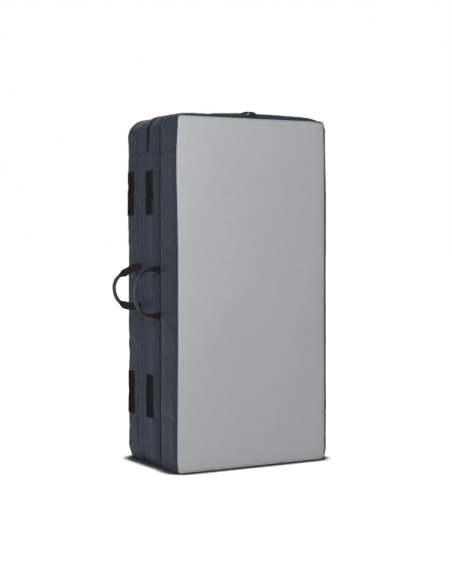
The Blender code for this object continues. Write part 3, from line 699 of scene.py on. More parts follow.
GREY = (0.372, 0.374, 0.386)
NAVY = (0.0240, 0.0300, 0.0470)
FINISHES = {
    Slot.GREY: CoatedCloth(GREY, (0.33, 0.31, 0.28), soiled=0.22),
    Slot.NAVY: CoatedCloth(NAVY, (0.115, 0.115, 0.118)),
    Slot.WEBBING: Webbing((0.0085, 0.0085, 0.0080)),
    Slot.LOOP: LoopPile((0.0050, 0.0050, 0.0053)),
    Slot.WRAP: CoatedCloth((0.047, 0.054, 0.076), (0.15, 0.15, 0.16), thread=0.7 * MM),
    Slot.PLASTIC: Moulded((0.0130, 0.0130, 0.0135)),
    Slot.FIRM: Foam((0.085, 0.085, 0.09), 1.2 * MM),
    Slot.SOFT: Foam((0.60, 0.54, 0.36), 2.0 * MM),
    Slot.COIL: Moulded((0.0032, 0.0032, 0.0035), gloss=0.08),
    Slot.METAL: CastMetal((0.035, 0.035, 0.037)),
}
THREADS = {
    Slot.GREY: Thread((0.36, 0.36, 0.37)),
    Slot.NAVY: Thread((0.020, 0.023, 0.034)),
    Slot.WEBBING: Thread((0.022, 0.022, 0.022)),
    Slot.WRAP: Thread((0.16, 0.18, 0.24)),
}


# Things that repeat along a run


@dataclass(frozen=True)
class RunSizes:
    """The sizes of what repeats along a run."""

    pitch: float
    wide: float
    thick: float
    long: float
    uneven: float = 0.12


LOCKSTITCH = RunSizes(pitch=3.6 * MM, wide=0.75 * MM, thick=0.65 * MM, long=3.0 * MM)
BARTACK = RunSizes(pitch=0.75 * MM, wide=2.4 * MM, thick=0.7 * MM, long=0.62 * MM)
COIL_LINK = RunSizes(pitch=1.45 * MM, wide=5.2 * MM, thick=2.1 * MM, long=1.15 * MM, uneven=0.0)


class RunTree(Tree):
    """A node tree that sets small rounded pieces along the edges of a mesh."""

    INPUTS = {
        "Geometry": "Geometry", "Pitch": "Float", "Size": "Vector", "Uneven": "Float", "Finish": "Material",
    }

    def __init__(self, name: str, seed: int) -> None:
        """Build the tree, with the seed of the pieces' uneven sizes."""
        super().__init__(bpy.data.node_groups.new(name, "GeometryNodeTree"))
        face = self.tree.interface
        self.inputs = {
            label: face.new_socket(label, in_out="INPUT", socket_type="NodeSocket" + kind)
            for label, kind in self.INPUTS.items()
        }
        face.new_socket("Geometry", in_out="OUTPUT", socket_type="NodeSocketGeometry")
        self._connect(seed)

    def _connect(self, seed: int) -> None:
        """Link the tree from its input to its output."""
        given = self.node("NodeGroupInput").outputs
        curve = self.made("GeometryNodeMeshToCurve", inputs={"Mesh": given["Geometry"]})
        steps = {"Curve": curve, "Length": given["Pitch"]}
        even = self.made("GeometryNodeResampleCurve", {"mode": "LENGTH"}, steps)
        bead = self.made("GeometryNodeMeshUVSphere", inputs={"Segments": 6, "Rings": 5, "Radius": 0.5})
        tangent = self.made("GeometryNodeInputTangent")
        kind = {"data_type": "FLOAT_VECTOR"}
        across = self.made("GeometryNodeInputNamedAttribute", kind, {"Name": "across"})
        align = "FunctionNodeAlignRotationToVector"
        first = self.made(align, {"axis": "Z"}, {"Vector": tangent})
        turned = self.made(align, {"axis": "X", "pivot_axis": "Z"}, {"Rotation": first, "Vector": across})
        lowest = self.made("ShaderNodeMath", {"operation": "SUBTRACT"}, {0: 1.0, 1: given["Uneven"]})
        limits = {"Min": lowest, "Max": 1.0, "Seed": seed}
        random = self.node("FunctionNodeRandomValue", {"data_type": "FLOAT"}, limits).outputs
        share = next(output for output in random if output.enabled and output.type == "VALUE")
        scale = self.made("ShaderNodeVectorMath", {"operation": "SCALE"}, {0: given["Size"], "Scale": share})
        beads = {"Points": even, "Instance": bead, "Rotation": turned, "Scale": scale}
        placed = self.made("GeometryNodeInstanceOnPoints", inputs=beads)
        real = self.made("GeometryNodeRealizeInstances", inputs={0: placed})
        smoothed = self.made("GeometryNodeSetShadeSmooth", inputs={0: real})
        dressing = {"Geometry": smoothed, "Material": given["Finish"]}
        self.node("NodeGroupOutput", inputs={0: self.made("GeometryNodeSetMaterial", inputs=dressing)})

    def run(
        self, name: str, lines: Sequence[tuple[Array, Array]], sizes: RunSizes, finish: Material
    ) -> Object:
        """Set pieces along lines.

        Args:
            name: The new object's name.
            lines: Each line's points, and the direction across it at each point.
            sizes: The pieces' sizes.
            finish: Their material.

        Returns:
            A plain mesh object.
        """
        points, edges, across = [], [], []
        for line, sideways in lines:
            start = len(points)
            points += line.tolist()
            across.append(np.broadcast_to(sideways, line.shape))
            edges += [(start + k, start + k + 1) for k in range(len(line) - 1)]
        guide = bpy.data.meshes.new(name + "_guide")
        guide.from_pydata(points, edges, [])
        attribute = guide.attributes.new("across", "FLOAT_VECTOR", "POINT")
        attribute.data.foreach_set("vector", np.concatenate(across).astype(np.float32).ravel())
        thing = new_object(name, guide)
        change = thing.modifiers.new("run", "NODES")
        change.node_group = self.tree
        size = (sizes.wide, sizes.thick, sizes.long)
        values = {"Pitch": sizes.pitch, "Size": size, "Uneven": sizes.uneven, "Finish": finish}
        for label, value in values.items():
            change[self.inputs[label].identifier] = value
        thing.update_tag()
        made = worked_out(thing)
        thing.modifiers.remove(change)
        thing.data = made
        made.name = name
        return thing


# The workshop: finishes, threads and the frame's bodies


class Workshop:
    """Holds the finishes and the sewing, and hands every finished piece to the frame."""

    def __init__(self) -> None:
        """Make the materials and the node tree, and note whether cloth is simulated."""
        self.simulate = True
        self.finishes = {slot: finish.make(slot.value) for slot, finish in FINISHES.items()}
        self.threads = {slot: thread.make(slot.value + "_thread") for slot, thread in THREADS.items()}
        self.tree = RunTree("pieces_along_a_run", seed=7)
        self.sewing: dict[tuple[str, Slot, RunSizes], list[tuple[Array, Array]]] = {}

    def piece(
        self, name: str, form: Grid | Mesh, slot: Slot, body: str, nodes: Sequence[str] = (),
        wall: float = 0.0, away_from: Any = None, levels: int = 0,
    ) -> Object:
        """Make a piece and give it to its body.

        Args:
            name: The piece's name.
            form: Its grid or mesh, in place.
            slot: Its material slot.
            body: The body that it moves with, or nothing for a piece that spans two bodies and is parented to
                neither.
            nodes: The frame's nodes that it stands for.
            wall: The wall that Solidify adds inwards, or 0.
            away_from: For an open grid, a point that its faces look away from.
            levels: Subdivision levels.

        Returns:
            The piece.
        """
        mesh = form.mesh(name, away_from) if isinstance(form, Grid) else form
        thing = new_object(name, mesh)
        mesh.materials.clear()
        mesh.materials.append(self.finishes[slot])
        if levels:
            finer = thing.modifiers.new("finer", "SUBSURF")
            finer.levels = finer.render_levels = levels
        if wall:
            shell = thing.modifiers.new("wall", "SOLIDIFY")
            shell.thickness = wall
            shell.offset = -1
        self.hand_over(thing, body, nodes)
        return thing

    def hand_over(self, thing: Object, body: str, nodes: Sequence[str] = ()) -> None:
        """Put a piece on its body, hide the frame's nodes that it stands for, and log what it rides on."""
        if body:
            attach(thing, body)
        if nodes:
            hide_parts(*nodes)
        LOG.info("%s rides on %s", thing.name, body or "two bodies")

    def sew(self, body: str, slot: Slot, line: Array, across: Any, sizes: RunSizes = LOCKSTITCH) -> None:
        """Note a line of stitches with its direction across, to be made for each body together."""
        across = np.broadcast_to(np.asarray(across, float), line.shape)
        self.sewing.setdefault((body, slot, sizes), []).append((line, across))

    def sew_box(self, body: str, size: tuple[float, float], laid: Callable, across: Any) -> None:
        """Sew a box with a cross in it.

        Args:
            body: The body that it moves with.
            size: Its size across and along the webbing.
            laid: Turns places across and along into points on the webbing.
            across: The direction across the lines.
        """
        x, y = size[0] / 2, size[1] / 2
        low, high, left, right = (-x, -y), (x, y), (-x, y), (x, -y)
        for corners in ((low, right, high, left, low), (low, high), (right, left)):
            self.sew(body, Slot.WEBBING, laid(*even_line(corners, 2.5 * MM).T), across)

    def sew_ring(self, body: str, slot: Slot, outline: Array, laid: Callable, facing: Any) -> None:
        """Sew round an outline (across, up) that is laid on cloth which faces a direction."""
        line = laid(*even_line([*outline, outline[0]], 4 * MM).T)
        self.sew(body, slot, line, np.cross(unit(np.gradient(line, axis=0)), facing))

    def make_stitches(self) -> None:
        """Make one piece of stitching for each body, thread and stitch."""
        for number, ((body, slot, sizes), lines) in enumerate(self.sewing.items()):
            name = f"{body}_stitching_{number}"
            thing = self.tree.run(name, lines, sizes, self.threads[slot])
            self.hand_over(thing, body)


# Panels


@dataclass
class PanelShape:
    """The outer form of one panel, read from the frame.

    Attributes:
        rounded: Whether its rear edges turn in along a quarter round.
        corners: The radius of the seam line's corners, at its foot and its top.
        side_crowns: How far the band bulges at the left and at the right.
        lean: How much of the left bulge is lost towards the rear, as a share.
        square: Whether the right side stays full almost to its seams.
        roll: How much further the right side bulges beside the front seam.
        top_crowns: Places across and how far the band bulges up there.
        droop: How far each top corner hangs, left and right.
        seam_draw: How far in the seams are at the left front, the left rear and the right.
        gap: How far each seam stands back from its neighbour panel's.
        bows: Heights and how far out the front seam wanders there, at the left and the right.
        joint_drop: How far below the top the band's cloth is joined.
    """

    panel: str
    rounded: bool = False
    corners: tuple[float, float] = mm(13, 40)
    round_depth: float = 40 * MM
    side_crowns: tuple[float, float] = mm(4.2, 3.8)
    lean: float = 0.0
    square: bool = False
    roll: float = 0.0
    top_crowns: Pairs = (
        (-265, 3), (-255, 8), (-238, 12), (-215, 12), (-195, 11), (-70, 11), (0, 10.2), (70, 11), (200, 11),
        (238, 9), (265, 1),
    )
    droop: tuple[float, float] = mm(2, 3)
    droop_reach: float = 60 * MM
    foot_lift: float = 4 * MM
    seam_draw: tuple[float, float, float] = mm(1.5, 1.5, 1.5)
    foot_draw: float = 7.5 * MM
    foot_reach: float = 50 * MM
    gap: float = 1.8 * MM
    bows: tuple[Pairs, Pairs] = (((0, 0),), ((0, 0),))
    joint_drop: float = 113 * MM
    step: float = 5.5 * MM
    half_width: float = field(init=False)
    height: float = field(init=False)

    def __post_init__(self) -> None:
        """Read the sizes from the frame's boxes."""
        low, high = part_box(self.panel + "_front_face")
        rear_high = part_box(self.panel + "_rear_face")[1]
        self.half_width = high.x
        self.height = high.z
        self.front, self.rear = low.y + self.gap, rear_high.y - self.gap
        self.centre = (self.front + self.rear) / 2
        self.half_depth = (self.rear - self.front) / 2
        self.side_round = self.half_width - rear_high.x
        self.end_round = self.height - rear_high.z

    def outline(self) -> tuple[Array, Array]:
        """Points x and z evenly round the seam line, from the middle of the foot and anticlockwise."""
        foot, head = self.corners
        line = [(0, 0)]
        top = self.height - head
        corners = ((1, foot, foot), (1, top, head), (-1, top, head), (-1, foot, foot))
        for start, (side, level, radius) in zip((-0.25, 0.0, 0.25, 0.5), corners):
            for share in np.linspace(0, 0.25, 9):
                angle = (start + share) * TURN
                x = side * (self.half_width - radius) + radius * math.cos(angle)
                line.append((x, level + radius * math.sin(angle)))
        line = np.array([*line, (0, 0)])
        run = lengths_along(line)
        places = np.linspace(0, run[-1], int(run[-1] / self.step), endpoint=False)
        # Finer steps cross the joining seams
        fine = np.linspace(-5 * MM, 14 * MM, 18)
        half = len(line) // 2
        joint = np.interp(self.height - self.joint_drop, line[:half, 1], run[:half])
        for middle, steps in ((joint, fine), (run[-1] - joint, -fine)):
            places = places[np.abs(places - middle - steps.mean()) > 12 * MM]
            places = np.sort(np.concatenate([places, middle + steps]))
        return tuple(np.interp(places, run, column) for column in line.T)

    def rows(self) -> Array:
        """Rows (depth, share of the depth, side inset, end inset) from the front seam to the rear one."""
        steps = np.linspace(-1, 1, 30)
        steps = np.sign(steps) * (1 - (1 - np.abs(steps)) ** 1.35)
        if self.rounded:
            straight = self.half_depth - self.round_depth
            level = np.linspace(-self.half_depth * 0.72, straight, 14)
            ahead = np.sort(np.concatenate([steps[:9] * self.half_depth, level]))
            angle = np.linspace(0, TURN / 4, 15)[1:]
            depth = np.concatenate([ahead, straight + self.round_depth * np.sin(angle)])
            turn = np.concatenate([np.zeros(len(ahead)), 1 - np.cos(angle)])
        else:
            depth = steps * self.half_depth
            turn = np.zeros(len(depth))
        return np.stack([depth, depth / self.half_depth, self.side_round * turn, self.end_round * turn], 1)

    def place(self, x: Array, z: Array, row: Array) -> Array:
        """Points on the skin.

        Args:
            x: Places along the seam line.
            z: Heights along the seam line.
            row: Depth, its share and insets, each shaped to go with x and z.

        Returns:
            The points.
        """
        depth, share, side_inset, end_inset = row
        middle, wide, tall = self.height / 2, self.half_width, self.height
        # The band leaves its seams steeply and is nearly flat between them
        steep = np.maximum(1 - share**4, 0) ** (1 / 3)
        reach = np.abs(x) / wide
        square = np.maximum(1 - share**8, 0) ** (1 / 4) if self.square else steep
        left, right = self.side_crowns
        side = np.where(x < 0, left * (1 - self.lean * smooth(share, 0, 0.8)), right)
        side = side + self.roll * smooth(share, -0.4, -0.7) * (x > 0)
        level = z / tall
        side = side * (1 - 0.22 * smooth(level, 0.8, 0.9) - 0.2 * smooth(level, 0.14, 0.06))
        side = side * (1 - smooth(z, tall - 35 * MM, tall + 5 * MM)) * (1 - 0.55 * smooth(z, 50 * MM, 0))
        side = side * np.where(x < 0, steep, square)
        front, rear, right = self.seam_draw
        drawn = np.where(x < 0, np.where(share < 0, front, rear) * (1 - steep), right * (1 - square))
        foot = self.foot_draw * smooth(z, self.foot_reach, 0)
        across = x * (1 + (side * reach - side_inset - drawn - foot) / wide)
        bow = np.where(x < 0, pairs_at(self.bows[0], z), pairs_at(self.bows[1], z))
        across = across + np.sign(x) * bow * smooth(-share, 0.2, 1) * reach**8
        up = middle + (z - middle) * (1 - end_inset / middle)
        up = up + pairs_at(self.top_crowns, x) * steep * smooth(z, 0.3 * tall, tall)
        for sign, droop in zip((-1, 1), self.droop):
            corner = smooth(x * sign, wide - self.droop_reach, wide)
            up = up - droop * corner * smooth(z, tall - self.droop_reach, tall)
        # Near the ground the seams ride up as the band bulges under its load
        up = up + self.foot_lift * (1 - steep) * smooth(z, 50 * MM, 0)
        return np.stack(np.broadcast_arrays(across, self.centre + depth, up), -1)

    def band(self) -> Grid:
        """The band's skin, seam to seam."""
        x, z = self.outline()
        rows = self.rows()[:, :, None]
        return Grid(self.place(x[None], z[None], rows.transpose(1, 0, 2)), round_columns=True)

    def face(self, rear: bool, step: float) -> Grid:
        """A face's skin, whose border lies on the seam line, with points at most a step apart."""
        wide, middle = self.half_width, self.height / 2
        columns, rows = int(2 * wide / step) + 1, int(self.height / step) + 1
        x, z = np.meshgrid(np.linspace(-wide, wide, columns), np.linspace(0, self.height, rows))
        foot, head = (with_round_corners(x, z - middle, wide, middle, radius) for radius in self.corners)
        x, up = (np.where(z < middle, low, high) for low, high in zip(foot, head))
        return Grid(self.place(x, up + middle, self.rows()[-1 if rear else 0]))


@dataclass(frozen=True)
class Simulation:
    """Fills out a sheet of cloth that is held along its border.

    Attributes:
        pressure: The pressure behind the cloth.
        cap: The furthest that a point may move.
        growth: How much larger the cloth is cut than the space it covers, as a share.
    """

    pressure: float
    cap: float
    growth: float
    frames: int = 20

    def run(self, grid: Grid, away_from: Any = None, kept: Array | None = None) -> Array:
        """Simulate a grid.

        Args:
            grid: The sheet or closed form.
            away_from: For a sheet, a point that it faces away from.
            kept: Which points are held besides the open borders.

        Returns:
            How far each point moves.
        """
        mesh = grid.mesh("cloth", away_from)
        thing = new_object("cloth", mesh)
        held = np.zeros(grid.points.shape[:2], bool)
        held[[0, -1]] = True
        if not grid.round_columns:
            held[:, [0, -1]] = True
        if kept is not None:
            held |= kept
        group = thing.vertex_groups.new(name="held")
        group.add(np.flatnonzero(held.ravel()).tolist(), 1.0, "REPLACE")
        cloth = thing.modifiers.new("cloth", "CLOTH")
        settings = {
            "vertex_group_mass": "held", "quality": 5, "mass": 0.25, "tension_stiffness": 20,
            "compression_stiffness": 20, "bending_stiffness": 1.5, "shrink_min": -self.growth,
            "use_pressure": True, "uniform_pressure_force": self.pressure,
        }
        for name, value in settings.items():
            setattr(cloth.settings, name, value)
        cloth.settings.effector_weights.gravity = 0
        cloth.point_cache.frame_end = self.frames
        scene = bpy.context.scene
        for number in range(1, self.frames + 1):
            scene.frame_set(number)
        ready = thing.evaluated_get(bpy.context.evaluated_depsgraph_get())
        after = numbers(ready.data.vertices, "co", 3)
        scene.frame_set(1)
        bpy.data.objects.remove(thing)
        moved = after.reshape(grid.points.shape) - grid.points
        length = np.linalg.norm(moved, axis=-1, keepdims=True)
        return moved * (self.cap * np.tanh(length / self.cap) / np.maximum(length, 1e-9))


@dataclass
class PanelCover:
    """One panel: its band, two faces, seams and foam."""

    shape: PanelShape
    front_slot: Slot = Slot.NAVY
    seed: int = 1
    face_step: float = 0.0075
    bead: float = 0.0011
    # Reach of the black strip that paints shade beside each hidden inner seam
    binding: float = 3.6 * MM
    cloth: float = 0.0011
    foam_inset: float = 6 * MM
    foam_gap: float = 0.8 * MM
    foam_corner: float = 36 * MM
    coarse: int = 3
    zip_line: float | None = None
    skin: Grid = field(init=False)
    rear_surface: Grid = field(init=False)

    @property
    def middle(self) -> Array:
        """The panel's middle."""
        return np.array([0, self.shape.centre, self.shape.height / 2])

    def _band_relief(self) -> Array:
        """Heights of the band's puckers, folds and joining seams."""
        shape = self.shape
        noise = Noise(self.seed)
        x, z = shape.outline()
        run = lengths_along(np.stack([x, z], 1))[None]
        rows = shape.rows()
        depth = rows[:, 0][:, None]
        from_front, from_rear = depth + shape.half_depth, shape.half_depth - depth
        relief = np.zeros((len(rows), len(x)))
        for index, away in enumerate((from_front, from_rear)):
            fine = noise.at(run / 0.011, 10.5 * index + 3) + 0.6 * noise.at(run / 0.027, 20.5 * index + 7)
            relief += 0.55 * MM * fine * np.exp(-away / 0.014)
        relief += 1.0 * MM * noise.at(run / 0.15, depth / 0.06 + 40)
        relief += 0.35 * MM * noise.at(run / 0.035 + depth / 0.03, depth / 0.09 + 80)
        # Folds draw in towards the corners, most at the top
        for corner_z, size in ((shape.height, 1.0), (0, 0.55)):
            for corner_x in (-shape.half_width, shape.half_width):
                reach = np.hypot(x - corner_x, z - corner_z)[None]
                along = reach / 0.021 + 1.8 * noise.at(depth / 0.035, 60 + corner_z) + depth / 0.030
                fold = noise.at(along, 90 + corner_x * 9 + depth / 0.11)
                relief += size * 2.9 * MM * fold * np.exp(-reach / 0.045)
        # The lapped joining seams across both sides
        on_side = (np.abs(x) > shape.half_width - 0.5 * MM)[None]
        above = z[None] - (shape.height - shape.joint_drop)
        hem = 0.6 * MM * smooth(above, 0, 1.5 * MM) * smooth(above, 8.5 * MM, 7 * MM)
        for level in mm(-0.3, 8.3):
            hem = hem - 3.4 * MM * np.exp(-(((above - level) / (1.4 * MM)) ** 2))
        relief += on_side * hem * (0.8 + 0.3 * noise.at(depth / 0.02, 300))
        return relief * smooth(np.minimum(from_front, from_rear), 0, 0.006)

    def _face_relief(self, grid: Grid, seed: int) -> Array:
        """Heights of a face's soft ripples and of the puckers along its seams."""
        noise = Noise(seed)
        x, z = grid.points[..., 0], grid.points[..., 2]
        half = np.abs(grid.points[0, -1, 0])
        low, high = z.min(), z.max()
        sides = half - np.abs(x)
        above, below = high - z, z - low
        border = np.minimum(sides, np.minimum(above, below))
        relief = 2.6 * MM * smooth(border, 0, 0.16) ** 0.6
        for size, along, seed, away in (
            (0.45 * MM, x / 0.016, 5, above / 0.022),
            (0.30 * MM, x / 0.020, 9, below / 0.018),
            (0.30 * MM, z / 0.020, 13, sides / 0.016),
        ):
            relief += size * noise.at(along, seed) * np.exp(-away)
        # Gathers hang from the top seam, deepest towards the right corner
        weight = 0.25 + 0.75 * smooth(x, -0.1 * half, 0.9 * half)
        relief += 1.25 * MM * weight * noise.at(x / 0.026, 30 + z / 0.5) * np.exp(-above / 0.085)
        # Long slack ripples cross the lower right
        slant = (x * 0.82 + z * 0.57) / 0.085
        weight = smooth(x, -half, half) * smooth(z, 0.75 * high, 0.1 * high)
        relief += 1.1 * MM * weight * noise.at(slant, (z - x) / 0.45 + 50)
        relief += 0.5 * MM * noise.at(x / 0.13, z / 0.17 + 70)
        # Each lower corner pulls in
        reach = np.hypot(half - np.abs(x), below)
        relief += 0.8 * MM * noise.at(reach / 0.024 + 3 * np.sign(x), 100) * np.exp(-reach / 0.05)
        return relief * smooth(border, 0, 0.010)

    def build(self, shop: Workshop) -> None:
        """Make the panel's pieces."""
        shape, centre, name = self.shape, self.middle, self.shape.panel
        skin = shape.band()
        if shop.simulate:
            skin = self._settled(skin, Simulation(pressure=2.0, cap=2.2 * MM, growth=0.012))
        self.skin = self._stiffened(skin.raised(self._band_relief(), centre))
        # The band lies flat where it stands on the ground
        self.skin.points[..., 2] = np.maximum(self.skin.points[..., 2], 0.6 * MM)
        node = [name + "_band"]
        band = shop.piece(name + "_cover_band", self.skin, Slot.NAVY, name, node, self.cloth, centre)
        2 * shape.half_depth
        for rear in (False, True):
            self._build_face(shop, rear)
        self._build_foam(shop)
        self._sew_joints(shop)

    def _stiffened(self, skin: Grid) -> Grid:
        """Keep the band smooth beside the zip, which stiffens it."""
        if self.zip_line is None:
            return skin
        smooth_skin = self.shape.band().points
        away = np.abs(smooth_skin[..., 1:2] - self.zip_line)
        return Grid(smooth_skin + (skin.points - smooth_skin) * smooth(away, 16 * MM, 30 * MM), True)

    def _settled(self, grid: Grid, simulation: Simulation) -> Grid:
        """Simulate a coarse copy of a grid and carry its movement over to the grid.

        Args:
            grid: The fine grid.
            simulation: The simulation to run.

        Returns:
            The moved grid.
        """
        rows, columns = grid.points.shape[:2]
        row_at = np.linspace(0, rows - 1, max((rows - 1) // self.coarse, 2) + 1)
        if grid.round_columns:
            count = columns // self.coarse
            column_at = np.arange(count) * (columns / count)
            fine_column = np.arange(columns) * count / columns
        else:
            count = max((columns - 1) // self.coarse, 2) + 1
            column_at = np.linspace(0, columns - 1.002, count)
            fine_column = np.minimum(np.arange(columns) * (count - 1) / (columns - 1), count - 1.002)
        coarse = Grid(grid.at(row_at[:, None], column_at[None]), grid.round_columns)
        moved = Grid(simulation.run(coarse, self.middle), grid.round_columns)
        fine_row = np.arange(rows) * (len(row_at) - 1) / (rows - 1)
        return Grid(grid.points + moved.at(fine_row[:, None], fine_column[None]), grid.round_columns)

    def _build_face(self, shop: Workshop, rear: bool) -> None:
        """Make the front or the rear face and the bead of its turned seam."""
        shape, centre = self.shape, self.middle
        name = f"{shape.panel}_{'rear' if rear else 'front'}"
        slot = Slot.NAVY if rear else self.front_slot
        hidden = name not in ("front_panel_front", "rear_panel_rear")
        flat = shape.face(rear, self.face_step * (1.6 if hidden else 1.0))
        if shop.simulate and not hidden:
            flat = self._settled(flat, Simulation(pressure=0.6, cap=1.6 * MM, growth=0.004))
        relief = self._face_relief(flat, self.seed + (7 if rear else 0))
        if hidden:
            relief = np.minimum(relief, 0.35 * MM)
        surface = flat.raised(relief, centre)
        if rear:
            self.rear_surface = surface
        sheet = shop.piece(name + "_cover", surface, slot, shape.panel, [name + "_face"], self.cloth, centre)
        if hidden:
            # A black strip beside each hidden inner seam paints the shade in the gap between the panels
            self._lay_painted_seam_shade(shop, rear, name + "_binding")
        edge = self.skin.points[-1 if rear else 0]
        path = edge - unit(edge - edge.mean(0)) * self.bead * 0.5
        bead = sweep(path, (0, 1, 0), oblong(2.2 * self.bead, 2 * self.bead, 2, 8), closed=True)
        shop.piece(name + "_seam", bead, slot, shape.panel)

    def _lay_painted_seam_shade(self, shop: Workshop, rear: bool, name: str) -> None:
        """Lay a black strip over the band beside an inner seam, as painted shade in the gap between the
        panels.
        """
        depth = self.shape.rows()[:, 0]
        reach = self.shape.half_depth - self.binding
        first = np.interp(reach, depth, np.arange(len(depth)))
        row = np.linspace(first, len(depth) - 1.002, 6) if rear else np.linspace(len(depth) - 1 - first, 0, 6)
        column = np.arange(self.skin.points.shape[1])
        lift = np.array([0.1, 0.45, 0.5, 0.5, 0.5, 0.3])[:, None] * MM
        points = self.on_band(row[:, None], column[None], lift)
        shop.piece(name, Grid(points, True), Slot.WEBBING, self.shape.panel, away_from=self.middle)

    def _build_foam(self, shop: Workshop) -> None:
        """Make the firm outer sheets and the soft core."""
        shape = self.shape
        for label, slot in (("front", Slot.FIRM), ("core", Slot.SOFT), ("rear", Slot.FIRM)):
            node = f"{shape.panel}_{label}_foam"
            low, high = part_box(node)
            turned = shape.rounded and label == "rear"
            aside = shape.half_width - self.foam_inset - (shape.side_round * 0.55 if turned else 0)
            ends = self.foam_inset + (shape.end_round * 0.55 if turned else 0)
            foot, head = ends + shape.foot_lift, shape.height - ends
            middle = (0, (low.y + high.y) / 2, (foot + head) / 2)
            half = (high.y - low.y) / 2 - self.foam_gap - (0 if label == "core" else shape.gap / 2)
            block = Moulding(frame_at(middle, (1, 0, 0), (0, 0, 1)))
            block.add(rounded_rectangle(2 * aside, head - foot, self.foam_corner, 6), -half, half)
            mesh = block.build(node, bevel=6 * MM, segments=3)
            name = shape.panel + ("_core" if label == "core" else f"_{label}_firm_sheet")
            thing = shop.piece(name, mesh, slot, shape.panel, [node])

    def column_at_height(self, side: Side, z: Any) -> Array:
        """The band's column, as a fraction, at a height on one side."""
        xs, _ = self.shape.outline()
        levels = self.skin.points[len(self.skin.points) // 2, :, 2]
        on_side = np.flatnonzero(xs * side.value > self.shape.half_width - 35 * MM)
        order = on_side if side is Side.RIGHT else on_side[::-1]
        return np.interp(z, np.maximum.accumulate(levels[order]), order)

    def row_at_depth(self, y: Any) -> Array:
        """The band's row, as a fraction, at a place along Y."""
        column = int(self.column_at_height(Side.LEFT, self.shape.height / 2))
        depth = np.maximum.accumulate(self.skin.points[:, column, 1])
        return np.interp(y, depth, np.arange(len(depth)))

    def on_band(self, row: Any, column: Any, lift: Any) -> Array:
        """Points lifted off the band, by row and column counts."""
        normals = Grid(self.skin.normals(self.middle), True)
        lift = np.asarray(lift, float)[..., None]
        return self.skin.at(row, column) + unit(normals.at(row, column)) * lift

    def on_side(self, side: Side, z: Any, y: Any, lift: Any) -> Array:
        """Points on a side of the band at heights and places along Y, lifted off it."""
        return self.on_band(self.row_at_depth(y), self.column_at_height(side, z), lift)

    def on_rear(self, x: Any, z: Any, lift: Any) -> Array:
        """Points lifted off the rear face, at places across and up."""
        points = self.rear_surface.points
        rows, columns = points.shape[:2]
        half = points[rows // 2, -1, 0]
        low, high = points[0, columns // 2, 2], points[-1, columns // 2, 2]
        x, z, lift = np.broadcast_arrays(np.asarray(x, float), np.asarray(z, float), np.asarray(lift, float))
        column = np.clip((x / half + 1) / 2 * (columns - 1), 0, columns - 1.002)
        y = self.rear_surface.at((z - low) / (high - low) * (rows - 1), column)[..., 1]
        return np.stack([x, y + lift, z], -1)

    def _sew_joints(self, shop: Workshop) -> None:
        """Sew the double line of each joining seam."""
        span = np.linspace(self.shape.front + 0.004, self.shape.rear - 0.006, 40)
        for side in Side:
            for offset in mm(1.9, 6.2):
                z = self.shape.height - self.shape.joint_drop + offset
                line = self.on_side(side, np.full(40, z), span, 0.25 * MM)
                shop.sew(self.shape.panel, Slot.NAVY, line, (0, 0, 1))


# Moulded pieces


class Moulding:
    """A rigid piece put together from prisms and cut by others, in a frame of its own."""

    def __init__(self, place: Matrix) -> None:
        """Start an empty piece at its place: X is the width, Y the length and Z the thickness."""
        self.place = place
        self.steps: list[tuple[str, Mesh]] = []

    @staticmethod
    def _prism(outline: Array, low: float, high: float) -> Mesh:
        """A closed prism between two levels."""
        count = len(outline)
        points = [(x, y, level) for level in (low, high) for x, y in outline]
        faces = [list(range(count))[::-1], [count + k for k in range(count)]]
        faces += [[k, (k + 1) % count, count + (k + 1) % count, count + k] for k in range(count)]
        mesh = bpy.data.meshes.new("prism")
        mesh.from_pydata(points, [], faces)
        shape = bmesh.new()
        shape.from_mesh(mesh)
        bmesh.ops.recalc_face_normals(shape, faces=shape.faces)
        shape.to_mesh(mesh)
        shape.free()
        return mesh

    def add(self, outline: Array, low: float, high: float) -> None:
        """Join a prism on."""
        self.steps.append(("UNION", self._prism(outline, low, high)))

    def cut(self, outline: Array, low: float, high: float) -> None:
        """Cut a prism away."""
        self.steps.append(("DIFFERENCE", self._prism(outline, low, high)))

    def build(self, name: str, bevel: float, segments: int = 2) -> Mesh:
        """Work out the piece.

        Args:
            name: The mesh's name.
            bevel: The radius of its edges.
            segments: The bevel's segments.

        Returns:
            The finished mesh, in its place.
        """
        base = new_object(name, self.steps[0][1])
        things = [base]
        for operation, mesh in self.steps[1:]:
            things.append(new_object("tool", mesh))
            change = base.modifiers.new(operation, "BOOLEAN")
            change.operation = operation
            change.solver = "EXACT"
            change.object = things[-1]
        edges = base.modifiers.new("edges", "BEVEL")
        edges.width = bevel
        edges.segments = segments
        edges.limit_method = "ANGLE"
        edges.angle_limit = math.radians(35)
        made = worked_out(base)
        for thing in things:
            bpy.data.objects.remove(thing)
        made.name = name
        made.transform(self.place)
        made.shade_smooth()
        made.set_sharp_from_angle(angle=math.radians(32))
        return made


def frame_at(origin: Any, wide: Any, along: Any) -> Matrix:
    """A frame from its origin, width direction and length direction."""
    wide, along = Vector(wide), Vector(along)
    turn = Matrix((wide, along, wide.cross(along))).transposed()
    return Matrix.Translation(origin) @ turn.to_4x4()


